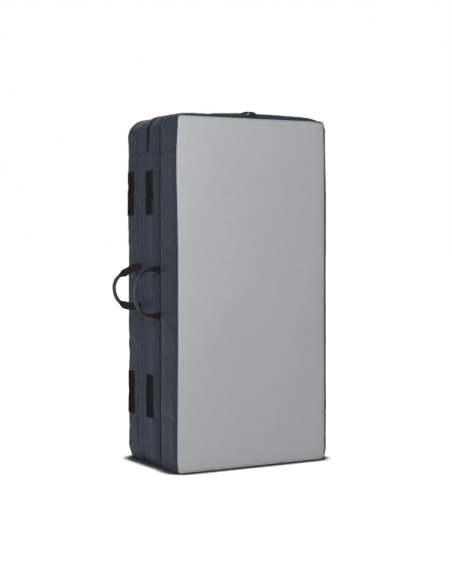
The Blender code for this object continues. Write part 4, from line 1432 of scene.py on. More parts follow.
@dataclass
class SideReleaseBuckle:
    """A side-release buckle, in a frame whose origin is the middle of the socket's mouth."""

    name: str
    place: Matrix
    webbing: float
    thick: float = 11 * MM
    wall: float = 2.4 * MM
    rim: float = 3.6 * MM

    @property
    def width(self) -> float:
        """The socket's full width."""
        return self.webbing + 2 * (self.wall + self.rim)

    def _boxed(self, wide: float, start: float, end: float, radius: float = 0.6 * MM) -> Array:
        """A rectangle's outline from one place to another along the buckle."""
        return rounded_rectangle(wide, end - start, radius, 2) + (0, (start + end) / 2)

    def socket(self) -> Mesh:
        """The hollow half, waisted at its side windows."""
        half, shape, slot_width = self.width / 2, Moulding(self.place), self.webbing + 1.2 * MM
        side = ((1.5, -34), (0, -32), (0, -24), (1.6, -19), (2, -12), (1.2, -6.5), (0, -3.5), (0.6, 0))
        side = np.array(side) * MM
        side[:, 0] = half - side[:, 0]
        level = self.thick / 2
        shape.add(np.vstack([side, side[::-1] * (-1, 1)]), -level, level)
        inside = level - self.wall
        shape.cut(self._boxed(self.width - 2 * self.wall - 1.6 * MM, -22 * MM, 2 * MM), -inside, inside)
        for sign in (-1, 1):
            window = self._boxed(*mm(9, -18.5, -7.5, 1.5)) + (sign * half, 0)
            shape.cut(window, -inside - 0.4 * MM, inside + 0.4 * MM)
        shape.cut(self._boxed(slot_width, -29.5 * MM, -24.5 * MM, 1.4 * MM), -level - MM, level + MM)
        bar = self._boxed(slot_width, -35 * MM, -27 * MM)
        shape.cut(bar, 1.9 * MM, level + MM)
        shape.cut(bar, -level - MM, -1.9 * MM)
        # A shallow thumb rest on the upper face
        shape.cut(self._boxed(self.webbing * 0.5, -16 * MM, -6 * MM, 3 * MM), level - 0.5 * MM, level + MM)
        return shape.build(self.name + "_socket_shell", bevel=0.8 * MM)

    def plug(self) -> Mesh:
        """The half with a guide, two sprung prongs and a slotted block for the webbing."""
        half, shape = self.width / 2, Moulding(self.place)
        inside = self.thick / 2 - self.wall - 0.4 * MM
        reach = half - self.wall - 1.4 * MM
        block = np.array([(1.2, 0.8), (0, 3), (0, 12.5), (2.2, 14.8)]) * MM
        block[:, 0] = half - block[:, 0]
        shape.add(np.vstack([block, block[::-1] * (-1, 1)]), -3.4 * MM, 4.4 * MM)
        shape.add(self._boxed(*mm(5.4, -19, 3, 1.6)), -inside, inside)
        prong = np.array([
            (-3.6, 3), (-3.2, -8), (-5, -17), (-3.6, -20), (-0.6, -17.6), (1.7, -13), (1.4, -8.6),
            (-0.4, -7.6), (0, 3),
        ]) * MM + (reach, 0)
        for sign in (-1, 1):
            shape.add((prong * (sign, 1))[::sign], -inside, inside)
        for start, end in (mm(2.9, 6.4), mm(9.4, 12.2)):
            shape.cut(self._boxed(self.webbing + 1.0 * MM, start, end, 1.2 * MM), -8 * MM, 8 * MM)
        return shape.build(self.name + "_plug_shell", bevel=0.6 * MM)

    def hairpin(self, sense: int, out: float, tail: float) -> Array:
        """Route webbing in under a bar, round it and back over it.

        Args:
            sense: 1 for the plug's bar and -1 for the socket's.
            out: Where the webbing comes from, along the buckle.
            tail: Where its end lies.

        Returns:
            The route's points.
        """
        bar, under, over = mm(7.9, 3.9, 5.3) if sense > 0 else mm(-31.8, 2.8, 2.8)
        near = bar - sense * 2.6 * MM
        route = [
            (out, 0.0), (bar + sense * 20 * MM, -0.2 * under), (bar + sense * 7 * MM, -under), (bar, -under),
            (near, -0.8 * under), (near - sense * 0.9 * MM, 0), (near, 0.9 * over), (bar, over),
            (bar + sense * 8 * MM, over), (bar + sense * 22 * MM, 2.1 * MM), (tail, 1.9 * MM),
        ]
        return self.points(*np.array(route).T)

    def build(self, shop: Workshop, body: str) -> None:
        """Make the socket on its body, and the plug."""
        halves = (("socket", self.socket(), body), ("plug", self.plug(), self.name + "_plug"))
        for half, mesh, owner in halves:
            node = f"{self.name}_buckle_{half}"
            shop.piece(f"{self.name}_{half}_shell", mesh, Slot.PLASTIC, owner, [node])

    def points(self, long: Any, out: Any, wide: Any = 0.0) -> Array:
        """Turn places in the buckle's frame into points in the pad's frame."""
        return np.array([self.place @ Vector(row) for row in zip(*np.broadcast_arrays(wide, long, out))])


# Fabric and tape that is sewn on the panels


@dataclass
class LoopStrips:
    """The hook-and-loop strips on the panels' sides, which hold the open pad's flaps and handles."""

    corner: float = 3.5 * MM
    lift: float = 1.7 * MM
    wall: float = 1.5 * MM
    hem: float = 3.2 * MM
    rows: int = 34
    columns: int = 14

    def build(self, shop: Workshop, covers: dict[str, PanelCover]) -> None:
        """Make every strip that the frame has, with its stitches."""
        for node in sorted(name for name in frame["nodes"] if "_strip_" in name):
            panel = node.split("_strip_")[0]
            side = Side.LEFT if "_left_" in node else Side.RIGHT
            cover = covers[panel]
            low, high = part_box(node)
            half, middle = (high - low) / 2, (high + low) / 2
            y, z = np.linspace(-half.y, half.y, self.columns), np.linspace(-half.z, half.z, self.rows)
            y, z = with_round_corners(*np.meshgrid(y, z), half.y, half.z, self.corner)
            lift = self.lift + 0.25 * MM * Noise(sum(map(ord, node))).at(z / 0.03, y / 0.02)
            surface = Grid(cover.on_side(side, middle.z + z, middle.y + y, lift))
            thing = shop.piece(node + "_tape", surface, Slot.LOOP, panel, [node], self.wall, cover.middle)
            panel + "_cover_band"
            border = rounded_rectangle(2 * (half.y - self.hem), 2 * (half.z - self.hem), self.corner)
            border += (middle.y, middle.z)
            laid = partial(self._laid, cover, side, self.lift + 0.3 * MM)
            shop.sew_ring(panel, Slot.WEBBING, border, laid, (side.value, 0, 0))

    @staticmethod
    def _laid(cover: PanelCover, side: Side, lift: float, y: Array, z: Array) -> Array:
        """Points over a side of the band."""
        return cover.on_side(side, z, y, lift)


@dataclass
class FabricHinge:
    """The fabric that joins two panels along one side and stands out as a ridge while the pad is shut."""

    name: str
    side: Side
    bodies: tuple[str, str]
    parent_first: bool
    nodes: tuple[str, str]
    flange: float = 15 * MM
    half_gap: float = 1.25 * MM
    ridge: float = 1.0 * MM
    wall: float = 0.8 * MM
    lift: float = 0.9 * MM

    def build(self, shop: Workshop, covers: dict[str, PanelCover], fold: tuple[float, float]) -> None:
        """Make the hinge and its stitches.

        Args:
            shop: Takes the pieces.
            covers: The panels by body.
            fold: The fold axis's X and Y.
        """
        before, after = (covers[body] for body in self.bodies)
        low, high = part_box(self.nodes[0])
        z = np.linspace(low.z, high.z, int((high.z - low.z) / (6 * MM)))[:, None]
        noise = Noise(len(self.name) + 3)
        steps = np.linspace(self.flange, 2.2 * MM, 9)
        edge = self.lift * smooth(steps, self.flange + 1 * MM, self.flange - 2.5 * MM) + 0.3 * MM
        near = before.on_side(self.side, z, fold[1] - steps[None], edge[None])
        far = after.on_side(self.side, z, fold[1] + steps[None][:, ::-1], edge[None][:, ::-1])
        ridge = self.ridge + 0.4 * MM * noise.at(z / 0.05, 2)
        tip = (near[:, :1, 0] + far[:, -1:, 0]) / 2 + self.side.value * ridge
        climb = smooth(steps, self.flange, 0.35 * self.flange)[None]
        near[..., 0] += (tip - near[..., 0]) * climb
        far[..., 0] += (tip - far[..., 0]) * climb[:, ::-1]
        depths = np.array([-1.0, -0.6, 0.0, 0.6, 1.0])[None] * self.half_gap
        crest = tip + self.side.value * 0.5 * MM * (1 - (depths / self.half_gap) ** 2)
        level = (near[:, -1:, 2] + far[:, :1, 2]) / 2
        top = np.stack(np.broadcast_arrays(crest, fold[1] + depths, level), -1)
        surface = np.concatenate([near, top, far], 1)
        inner = (0, fold[1], (low.z + high.z) / 2)
        thing = shop.piece(self.name, Grid(surface), Slot.NAVY, "", self.nodes, self.wall, inner)
        start, end = (Vector((fold[0], fold[1] + shift, 0.56)) for shift in (-self.half_gap, self.half_gap))
        if self.parent_first:
            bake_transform(thing)
        else:
            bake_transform(thing)
        for cover, sign in ((before, -1), (after, 1)):
            for inset in mm(2.5, 9.5):
                y = fold[1] + sign * (self.flange - inset)
                levels = np.linspace(low.z + 3 * MM, high.z - 3 * MM, 180)
                line = cover.on_side(self.side, levels, np.full(len(levels), y), self.lift + 0.45 * MM)
                shop.sew(cover.shape.panel, Slot.NAVY, line, (0, 1, 0))


@dataclass
class CarryHandle:
    """A webbing loop with upright tabs, rolled in fabric where the hand holds it."""

    body: str
    root: Sequence[float]
    reach: float
    span: float
    tilt: float = 0.0
    slope: float = 0.0
    taper: tuple[float, float] = (0.0, 0.56)
    tuck: float = 0.0
    seed: int = 3
    webbing: tuple[float, float] = mm(25, 1.7)
    folded: tuple[float, float] = mm(7.5, 3.4)
    grip: tuple[float, float] = mm(13.0, 5.8)
    grip_start: float = 0.78
    bow_power: float = 0.6

    def _route(self, step: float) -> tuple[Array, Array, Array]:
        """The share of the reach, the point and the direction across, at even steps along the loop."""
        arc = np.radians(np.linspace(-90, 90, 1441))
        out = self.reach * np.maximum(np.cos(arc), 0) ** self.bow_power
        drop = self.slope * smooth(out, 0, 0.6 * self.reach) * smooth(np.sin(arc), -0.5, 1)
        line = np.stack([-out, 0 * arc, self.span / 2 * np.sin(arc) - drop], 1)
        inward = np.array([[self.tuck, 0, 0]]) if self.tuck else np.zeros((0, 3))
        path = even_line(np.vstack([line[:1] + inward, line, line[-1:] + inward]), step)
        share = -path[:, 0] / self.reach
        noise = Noise(self.seed)
        run = lengths_along(path)
        path[:, 1] += 1.3 * MM * noise.at(run / 0.06) * smooth(share, 0.2, 0.7)
        path[:, 2] += 0.8 * MM * noise.at(run / 0.05, 5) * smooth(share, 0.2, 0.7)
        turn = np.array(Matrix.Rotation(math.radians(self.tilt), 3, "Z"))
        path = path @ turn.T
        across = np.cross(unit(np.gradient(path, axis=0)), turn @ (0, 1, 0))
        return share, path + self.root, across

    def build(self, shop: Workshop) -> None:
        """Make the webbing, the grip and their stitches."""
        out, path, across = self._route(3.2 * MM)
        share = (1 - np.clip((out - self.taper[0]) / (self.taper[1] - self.taper[0]), 0, 1))[:, None, None]
        flat = oblong(*self.webbing, 7, 18)
        narrow = oblong(*self.folded, 2.6, 18)
        section = narrow + (flat - narrow) * share
        # The edges curl in as the webbing folds
        section = section + np.stack([np.zeros(18), np.abs(flat[:, 0]) * 0.16], 1) * (share * (1 - share) * 4)
        loop = sweep(path, across, section)
        shop.piece(self.body + "_loop", loop, Slot.WEBBING, self.body, [self.body + "_webbing"])
        held = out > self.grip_start
        self._grip(shop, path[held], across[held])
        along = unit(np.gradient(path, axis=0))
        for share_along in (0.055, 0.085, -0.055, -0.085):
            index = int(share_along * len(path)) % len(path)
            width = np.linalg.norm(section[index][0] - section[index][9]) * 0.42
            line = path[index] + across[index] * np.linspace(-width, width, 16)[:, None]
            outward = np.cross(along[index], across[index]) * MM
            for face in (-1, 1):
                shop.sew(self.body, Slot.WEBBING, line + outward * face, along[index], BARTACK)

    def _grip(self, shop: Workshop, path: Array, across: Array) -> None:
        """Make the rolled fabric round the held stretch.

        Args:
            shop: Takes the pieces.
            path: The stretch's points.
            across: The direction across it at each.
        """
        fine = even_line(path, 1.3 * MM)
        count = len(fine)
        places = np.linspace(0, 1, count)
        old = np.linspace(0, 1, len(path))
        wide = np.stack([np.interp(places, old, across[:, axis]) for axis in range(3)], 1)
        section = oblong(*self.grip, 2.5, 26)
        noise = Noise(self.seed + 4)
        run = np.arange(count)[:, None] * 1.3 * MM
        angle = np.arange(26)[None] / 26 * TURN
        inner = np.clip(np.cos(angle), 0, 1)
        relief = 0.30 * MM * noise.at(run / 0.008, angle * 1.5)
        relief = relief + 0.45 * MM * inner * noise.at(run / 0.0042, 40)
        end = 1 - 0.16 * np.exp(-np.minimum(run, run[-1] - run) / (2.2 * MM))
        # The roll's free edge lies along the side that faces forward
        lap = 0.55 * MM * smooth(np.abs((angle - 4.4)), 0.45, 0.30)
        round_by = np.linalg.norm(section, axis=1)[None]
        size = (round_by + relief + lap) / round_by * end
        roll = sweep(fine, wide, section[None] * size[..., None])
        shop.piece(self.body + "_roll", roll, Slot.WRAP, self.body, [self.body + "_grip"])
        deep = np.cross(unit(np.gradient(fine, axis=0)), unit(wide))
        inside = slice(4, count - 4)
        for sideways in mm(-1.6, 1.6):
            line = fine + wide * sideways - deep * (self.grip[1] / 2 + 0.62 * MM)
            shop.sew(self.body, Slot.WRAP, line[inside], wide[inside])


# The zip


@dataclass
class Zip:
    """The zip that closes the middle panel's cover, from low on one side over the top to the other.

    Attributes:
        tape_width: The tape's full width.
        opening: Shares of the way from either end, and how many millimetres the lips stand off there.
        lip: The width and thickness of the fabric lips.
    """

    tape_width: float = 26 * MM
    opening: Pairs = ((0, 3), (0.015, 5.5), (0.05, 8), (0.08, 11), (0.13, 10), (0.2, 7))
    lip: tuple[float, float] = mm(6.0, 1.6)

    def build(self, shop: Workshop, cover: PanelCover) -> None:
        """Make the tape, the coil, the lips, the slider and the pull."""
        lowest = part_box("zip_tape")[0].z
        first, last = (float(cover.column_at_height(side, lowest)) for side in (Side.RIGHT, Side.LEFT))
        column = np.linspace(first, last, int((last - first) * 2.2))
        run = lengths_along(cover.on_band(cover.row_at_depth(cover.zip_line), column, 0.0))
        share = run / run[-1]
        noise = Noise(77)
        middle = cover.zip_line + 1.4 * MM * noise.at(share * 26, 1) * smooth(share, 0.7, 0.85)
        middle = middle - 6 * MM * smooth(share, 0.72, 0.84) * smooth(share, 0.97, 0.92)
        offsets = np.linspace(-self.tape_width / 2, self.tape_width / 2, 7)
        row = cover.row_at_depth(middle[:, None] + offsets[None])
        surface = Grid(cover.on_band(row, column[:, None], np.full(row.shape, 0.55 * MM)))
        tape = shop.piece(
            "zip_woven_tape", surface, Slot.COIL, "middle_panel", ["zip_tape"], 0.7 * MM, cover.middle
        )
        route = cover.on_band(cover.row_at_depth(middle), column, np.full(len(column), 0.95 * MM))
        for label, offset in (("front", -1.2 * MM), ("rear", 1.2 * MM)):
            lines = [(route + (0, offset, 0), (0.0, 1.0, 0.0))]
            teeth = shop.tree.run("zip_coil_" + label, lines, COIL_LINK, shop.finishes[Slot.COIL])
            shop.hand_over(teeth, "middle_panel")
        opening = np.interp(np.minimum(share, 1 - share), *np.array(self.opening).T) * MM
        opening = opening + 0.5 * MM * noise.at(share * 40, 8)
        for label, sign in (("front", -1), ("rear", 1)):
            y = middle + sign * (opening + self.lip[0] / 2)
            puff = 0.35 * MM * noise.at(share * 70, 20 + sign)
            path = cover.on_band(cover.row_at_depth(y), column, 0.45 * MM + puff)
            lip = sweep(path, (0, 1, 0), oblong(*self.lip, 3, 12))
            shop.piece("zip_lip_" + label, lip, Slot.NAVY, "middle_panel")
            line = cover.on_band(cover.row_at_depth(y + sign * 0.8 * MM), column, 1.5 * MM + puff)
            shop.sew("middle_panel", Slot.NAVY, line[6:-6], (0, 1, 0))
        # A bartack over each end of the coil
        for point in (route[3], route[-4]):
            outside = point + (np.sign(point[0]) * 1.4 * MM, 0, 0)
            line = outside + np.linspace(-7 * MM, 7 * MM, 24)[:, None] * (0, 1, 0)
            shop.sew("middle_panel", Slot.WEBBING, line, (0, 0, 1), BARTACK)
        self._slider(shop)

    def _slider(self, shop: Workshop) -> None:
        """Make the slider with its bridge, and the pull that turns on it."""
        low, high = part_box("zip_slider")
        pull_low, pull_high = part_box("zip_pull")
        middle = (low + high) / 2
        shape = Moulding(Matrix.Translation((middle.x, middle.y, low.z)))
        side = np.array([(-6.5, 3.6), (-3, 5), (4.5, 4.4), (6.5, 3.2)]) * MM
        body = np.vstack([side * (1, -1), side[::-1]])
        shape.add(body, 0.1 * MM, 1.3 * MM)
        shape.add(body, 2.9 * MM, 4.2 * MM)
        shape.add(rounded_rectangle(*mm(5, 2.6, 1)), 1 * MM, 3.4 * MM)
        mesh = shape.build("zip_slider_body", bevel=0.45 * MM)
        shop.piece("zip_slider_body", mesh, Slot.METAL, "slider", ["zip_slider"])
        arch = ((-3.4, 0, 3.6), (-3.0, 0, 5.6), (-1.8, 0, 7.2), (0.6, 0, 7.35), (2.6, 0, 6.0), (3.6, 0, 3.6))
        path = rounded_line(np.array(arch) * MM + (middle.x, middle.y, low.z), 0.5 * MM, 3)
        bridge = sweep(path, (0, 1, 0), oblong(2.2 * MM, 1.0 * MM, 3, 12))
        shop.piece("zip_slider_bridge", bridge, Slot.METAL, "slider")
        tab = Moulding(Matrix.Translation((pull_low.x, middle.y, (pull_low.z + pull_high.z) / 2)))
        long, wide = pull_high.x - pull_low.x, pull_high.y - pull_low.y
        tab.add(rounded_rectangle(long, wide, 2.4 * MM) + (long / 2, 0), -0.8 * MM, 0.8 * MM)
        tab.cut(rounded_rectangle(*mm(5.2, 4.4, 1.2)) + (3.4 * MM, 0), -3 * MM, 3 * MM)
        hollow = rounded_rectangle(*mm(10, 3.4, 1.6)) + (18 * MM, 0)
        tab.cut(hollow, 0.35 * MM, 3 * MM)
        tab.cut(hollow, -3 * MM, -0.35 * MM)
        mesh = tab.build("zip_pull_tab", bevel=0.35 * MM)
        shop.piece("zip_pull_tab", mesh, Slot.PLASTIC, "pull", ["zip_pull"])


# Straps and harness


@dataclass(frozen=True)
class Strap:
    """Plain webbing of one width and thickness."""

    width: float = 25 * MM
    thick: float = 1.7 * MM
    power: float = 7
    count: int = 16

    def along(self, corners: Array, wide: Any, step: float = 1.2 * MM, passes: int = 4) -> Grid:
        """Lay the webbing along a route, with its width direction and how finely and softly it goes round."""
        section = oblong(self.width, self.thick, self.power, self.count)
        return sweep(rounded_line(corners, step, passes), wide, section)


@dataclass
class TopClosure:
    """The strap that holds the shut panels together over the top, with its buckle."""

    webbing: Strap = Strap()
    rise: float = 30 * MM
    arch: float = 8 * MM

    def build(self, shop: Workshop, covers: dict[str, PanelCover]) -> None:
        """Make the buckle and both halves of the strap."""
        low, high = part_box("closure_buckle_socket")
        mouth = Vector((0, high.y, (low.z + high.z) / 2))
        buckle = SideReleaseBuckle("closure", frame_at(mouth, (1, 0, 0), (0, 1, 0)), self.webbing.width)
        buckle.build(shop, "front_panel")
        self._front(shop, covers["front_panel"], buckle)
        self._rear(shop, covers["rear_panel"], buckle)

    def _front(self, shop: Workshop, cover: PanelCover, buckle: SideReleaseBuckle) -> None:
        """Make the half that is sewn into the front seam."""
        place = buckle.place.translation
        angle = np.linspace(0, TURN / 4, 9)
        start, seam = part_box("closure_front_strap")[0].y + 0.8 * MM, cover.shape.height
        foot = seam + 1.5 * MM
        climb = foot + (place.z + self.arch - foot) * np.sin(angle)
        rise = np.stack([0 * angle, start + self.rise * (1 - np.cos(angle)), climb], 1)
        root, crest = (0, start + 0.4 * MM, seam - 3 * MM), (0, place.y - 90 * MM, place.z + 4.5 * MM)
        loop = buckle.hairpin(-1, *mm(-68, -72))
        strap = self.webbing.along(np.vstack([root, rise, crest, loop]), (1, 0, 0))
        shop.piece("closure_front_webbing", strap, Slot.WEBBING, "front_panel", ["closure_front_strap"])
        size = (self.webbing.width - 6 * MM, 22 * MM)
        shop.sew_box("front_panel", size, lambda x, y: buckle.points(y - 58 * MM, 2.9 * MM, x), (1, 0, 0))
        for lift in mm(2.6, 4.4):
            line = np.linspace(*mm(-11, 11), 12)[:, None] * (1, 0, 0) + (0, start - 0.5 * MM, seam + lift)
            shop.sew("front_panel", Slot.WEBBING, line, (0, 0, 1))

    def _rear(self, shop: Workshop, cover: PanelCover, buckle: SideReleaseBuckle) -> None:
        """Make the half that is sewn on the rear panel and runs through the plug."""
        end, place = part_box("closure_rear_strap")[1].y, buckle.place.translation
        top = cover.skin.points.shape[1] / 2

        def laid(x: Any, y: Array, lift: float) -> Array:
            """Points over the top of the band."""
            points = cover.on_band(cover.row_at_depth(y), np.full(len(y), top), np.full(len(y), lift))
            points[:, 0] = x
            return points

        sewn = laid(0, np.linspace(end + 19 * MM, end - 2 * MM, 8), 0.95 * MM)
        angle = np.linspace(0.35, TURN / 4, 6)
        _, y, z = sewn[-1]
        far = y - self.rise
        level = z + (place.z - z) * np.sin(angle)
        climb = np.stack([0 * angle, y + (far - y) * (1 - np.cos(angle)), level], 1)
        loop = buckle.hairpin(1, far - place.y - 6 * MM, 84 * MM)
        strap = self.webbing.along(np.vstack([sewn, climb, loop]), (1, 0, 0))
        thing = shop.piece("closure_rear_webbing", strap, Slot.WEBBING, "", ["closure_rear_strap"])
        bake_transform(thing)
        size = (self.webbing.width - 6 * MM, 14 * MM)
        shop.sew_box("rear_panel", size, lambda x, y: laid(x, end + 9 * MM + y, 2.05 * MM), (1, 0, 0))


@dataclass
class ShoulderHarness:
    """The shoulder straps on the rear face, with the patch that they hang from."""

    top_x: float = 50 * MM
    bow_x: float = 105 * MM
    foot_x: float = 92 * MM
    width: float = 62 * MM
    thick: float = 12 * MM
    end_width: float = 0.62
    end_thick: float = 0.55
    webbing: Strap = Strap()
    anchor_x: float = 178 * MM
    sides: int = 28

    def build(self, shop: Workshop, cover: PanelCover) -> None:
        """Make the harness on the rear panel's cover."""
        self._yoke(shop, cover)
        for side in Side:
            self._lock(shop, cover, side, self._pad(shop, cover, side))

    def _yoke(self, shop: Workshop, cover: PanelCover) -> None:
        """Make the patch, with its turned edge and double stitching."""
        low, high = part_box("harness_yoke")
        middle, half = (low + high) / 2, (high - low) / 2
        x, z = np.meshgrid(np.linspace(-half.x, half.x, 58), np.linspace(-half.z, half.z, 22))
        x, z = with_round_corners(x, z, half.x, half.z, 7 * MM)
        border = np.minimum(half.x - np.abs(x), half.z - np.abs(z))
        noise = Noise(61)
        lift = 1.3 * MM + 0.7 * MM * smooth(border, *mm(11, 8.5)) + 0.3 * MM * noise.at(x / 0.03, z / 0.025)
        surface = Grid(cover.on_rear(x, middle.z + z, lift))
        node, centre = ["harness_yoke"], cover.middle
        thing = shop.piece("harness_yoke_patch", surface, Slot.NAVY, "rear_panel", node, 1.1 * MM, centre)
        for inset in mm(3, 8):
            flat = rounded_rectangle(2 * (half.x - inset), 2 * (half.z - inset), 6 * MM)
            shop.sew_ring(
                "rear_panel", Slot.NAVY, flat,
                lambda x, z: cover.on_rear(x, middle.z + z, 2.2 * MM), (0, 1, 0),
            )

    def _sizes(self, share: Array, side: Side, top: float, foot: float) -> tuple[Array, ...]:
        """The pad's middle line X and Z, its width and its thickness at shares of its length."""
        bow = 4 * share * (1 - share)
        x = self.top_x + (self.foot_x - self.top_x) * share
        x = x + (self.bow_x - (self.top_x + self.foot_x) / 2) * bow
        along = np.minimum(share, 1 - share) * 2
        width = self.width * (self.end_width + (1 - self.end_width) * smooth(along, 0, 0.35))
        thick = self.thick * (self.end_thick + (1 - self.end_thick) * smooth(along, 0, 0.2))
        return side.value * x, top + (foot - top) * share, width, thick

    def _pad(self, shop: Workshop, cover: PanelCover, side: Side) -> Array:
        """Make one shoulder pad.

        Args:
            shop: Takes the pieces.
            cover: The rear panel.
            side: The pad's side.

        Returns:
            The line down the middle of its outer face.
        """
        node = "shoulder_pad_" + side.word
        low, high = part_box(node)
        x, z, width, thick = self._sizes(np.linspace(0, 1, 76), side, high.z, low.z)
        base = cover.on_rear(x, z, 0.4 * MM)
        across, out = oblong(2, 2, 2.9, self.sides).T
        rise = np.where(out > 0, out * 0.70, out * 0.30) + 0.30
        wide = across[None] * width[:, None] / 2
        grid = sweep(base, (-1, 0, 0), np.stack([wide, rise[None] * thick[:, None] * 0.86], -1))
        if shop.simulate:
            back = np.broadcast_to((out < 0.55)[None], grid.points.shape[:2])
            moved = Simulation(pressure=4.0, cap=2.2 * MM, growth=0.02).run(grid, None, back)
            grid = Grid(grid.points + moved, True, capped=True)
        place = np.linspace(0, 1, self.sides, endpoint=False)[None]
        noise = Noise(90 + side.value)
        run = lengths_along(base)[:, None]
        face = np.clip(out, 0, 1)[None]
        pucker = 0.45 * MM * noise.at(run / 0.009, place * 5) * face * (1 - face) * 4
        groove = -1.0 * MM * face * np.exp(-(((np.abs(wide) - 14.5 * MM) / (2.5 * MM)) ** 2))
        soft = 0.5 * MM * noise.at(run / 0.05, place * 6 + 30) * face
        grid = grid.raised(pucker + groove + soft, base.mean(0))
        shop.piece(node + "_form", grid, Slot.WRAP, "rear_panel", [node], levels=1)
        edge = np.vstack([grid.points[:, 0], grid.points[::-1, self.sides // 2]])
        edge = even_line(np.vstack([edge, edge[:1]]), 3 * MM)[:-1]
        for _ in range(3):
            edge = (np.roll(edge, 1, axis=0) + 2 * edge + np.roll(edge, -1, axis=0)) / 4
        binding = sweep(edge, (0, 1, 0), oblong(7.0 * MM, 3.0 * MM, 2.6, 12), closed=True)
        shop.piece(node + "_binding", binding, Slot.WEBBING, "rear_panel")
        outer = (grid.points[:, self.sides // 4] + grid.points[:, int(np.argmax(out))]) / 2
        front = np.stack([base[:, 0], outer[:, 1] + 0.7 * MM, base[:, 2]], 1)
        sideways = np.cross(unit(np.gradient(base, axis=0)), (0, 1, 0)) * 10.3 * MM
        for sign in (-1, 1):
            line = front + sideways * sign + (0, 1.0 * MM, 0)
            shop.sew("rear_panel", Slot.WEBBING, even_line(line[2:-2], 4 * MM), (1, 0, 0))
        return front

    def _lock(self, shop: Workshop, cover: PanelCover, side: Side, front: Array) -> None:
        """Make the webbing over the pad, the ladder lock and the lower webbing.

        Args:
            shop: Takes the pieces.
            cover: The rear panel.
            side: The pad's side.
            front: The line down the pad's outer face.
        """
        low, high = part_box("ladder_lock_" + side.word)
        origin = (low + high) / 2
        lock = Moulding(frame_at(origin, (-1, 0, 0), (0, 0, 1)))
        lock.add(rounded_rectangle(*mm(34, 26, 4)), -2.2 * MM, 2.2 * MM)
        lock.add(rounded_rectangle(*mm(27, 5, 2)) + (0, -11.4 * MM), -2.6 * MM, 3.4 * MM)
        for middle, tall in (mm(6.0, 4.8), mm(-5.4, 5.4)):
            slot = rounded_rectangle(self.webbing.width + 1.2 * MM, tall, 1.4 * MM) + (0, middle)
            lock.cut(slot, -6 * MM, 6 * MM)
        name = "ladder_lock_frame_" + side.word
        shop.piece(name, lock.build(name, 0.8 * MM), Slot.PLASTIC, "rear_panel", ["ladder_lock_" + side.word])
        top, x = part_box("harness_yoke")[1].z, front[0, 0]
        sewn = cover.on_rear(np.full(5, x), np.linspace(top - 14 * MM, front[0, 2] + 8 * MM, 5), 3.0 * MM)
        turn = ((4.6, 14.5), (3.5, 11), (2.2, 7.6), (0, 6.4), (-2.0, 7.6), (-2.3, 11), (-2.2, 17))
        turn = np.array([(0, out, up) for out, up in turn]) * MM + origin
        strap = self.webbing.along(np.vstack([sewn, front[1:-2], turn]), (-1, 0, 0), 2 * MM, 5)
        shop.piece("pad_webbing_" + side.word, strap, Slot.WEBBING, "rear_panel")
        shop.sew_box(
            "rear_panel", mm(18, 40),
            lambda wide, long: cover.on_rear(x + wide, top - 37 * MM + long, 4.1 * MM), (1, 0, 0),
        )
        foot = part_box("shoulder_webbing_" + side.word)[0].z
        slope = np.linspace(0, 1, 9)
        route_x = origin.x + (side.value * self.anchor_x - origin.x) * slope
        route_z = origin.z - 30 * MM + (foot - origin.z + 30 * MM) * slope
        run = cover.on_rear(route_x, route_z, 1.2 * MM)
        thread = (
            (-2.0, -20), (-2.4, -12), (-2.3, -2), (-1.6, 3.4), (0.4, 4.8), (2.4, 3.6), (3.2, -1), (4.6, -9),
            (4.4, -16), (2.4, -40), (1.6, -62), (2.6, -80),
        )
        thread = np.array([(0, out, up) for out, up in thread]) * MM + origin
        strap = self.webbing.along(np.vstack([run[::-1], thread]), (-1, 0, 0), 2 * MM, 5)
        node = "shoulder_webbing_" + side.word
        shop.piece("lower_webbing_" + side.word, strap, Slot.WEBBING, "rear_panel", [node])
        along = unit(run[-1] - run[-2])
        sideways = np.cross(along, (0, 1, 0))
        base = run[-1] - along * 13 * MM + (0, 1.1 * MM, 0)
        shop.sew_box(
            "rear_panel", mm(18, 18),
            lambda wide, long: base + sideways * wide[:, None] + along * long[:, None], sideways,
        )


@dataclass
class WaistBelt:
    """The belt across the rear face, with a buckle in its middle."""

    webbing: Strap = Strap(width=38 * MM, power=9, count=20)
    reach: float = 205 * MM
    sewn: float = 30 * MM

    def build(self, shop: Workshop, cover: PanelCover) -> None:
        """Make the buckle and both wings."""
        low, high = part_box("waist_buckle_socket")
        mouth = Vector((high.x, (low.y + high.y) / 2, (low.z + high.z) / 2))
        buckle = SideReleaseBuckle("waist", frame_at(mouth, (0, 0, 1), (1, 0, 0)), self.webbing.width)
        buckle.build(shop, "rear_panel")
        loops = {
            Side.LEFT: buckle.hairpin(-1, *mm(-110, -88)),
            Side.RIGHT: buckle.hairpin(1, *mm(95, 104)),
        }
        tack = self.webbing.width - 8 * MM
        for side, loop in loops.items():
            x = side.value * (self.reach - np.array([0, 0.5, 1, 2]) * self.sewn)
            flat = cover.on_rear(x, mouth.z, np.array([1.1, 1.1, 1.2, 2.6]) * MM)
            strap = self.webbing.along(np.vstack([flat, loop]), (0, 0, 1), 1.4 * MM)
            body = "rear_panel" if side is Side.LEFT else ""
            name = "waist_webbing_" + side.word
            thing = shop.piece(name, strap, Slot.WEBBING, body, ["waist_belt_" + side.word])
            if side is Side.RIGHT:
                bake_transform(thing)
            middle = side.value * (self.reach - self.sewn / 2)
            shop.sew_box(
                "rear_panel", (tack, self.sewn - 7 * MM),
                lambda wide, long: cover.on_rear(middle + long, mouth.z + wide, 2.3 * MM), (0, 0, 1),
            )
        shop.sew_box(
            "rear_panel", (tack, 20 * MM), lambda x, y: buckle.points(y - 58 * MM, 2.9 * MM, x), (0, 0, 1)
        )


# The studio


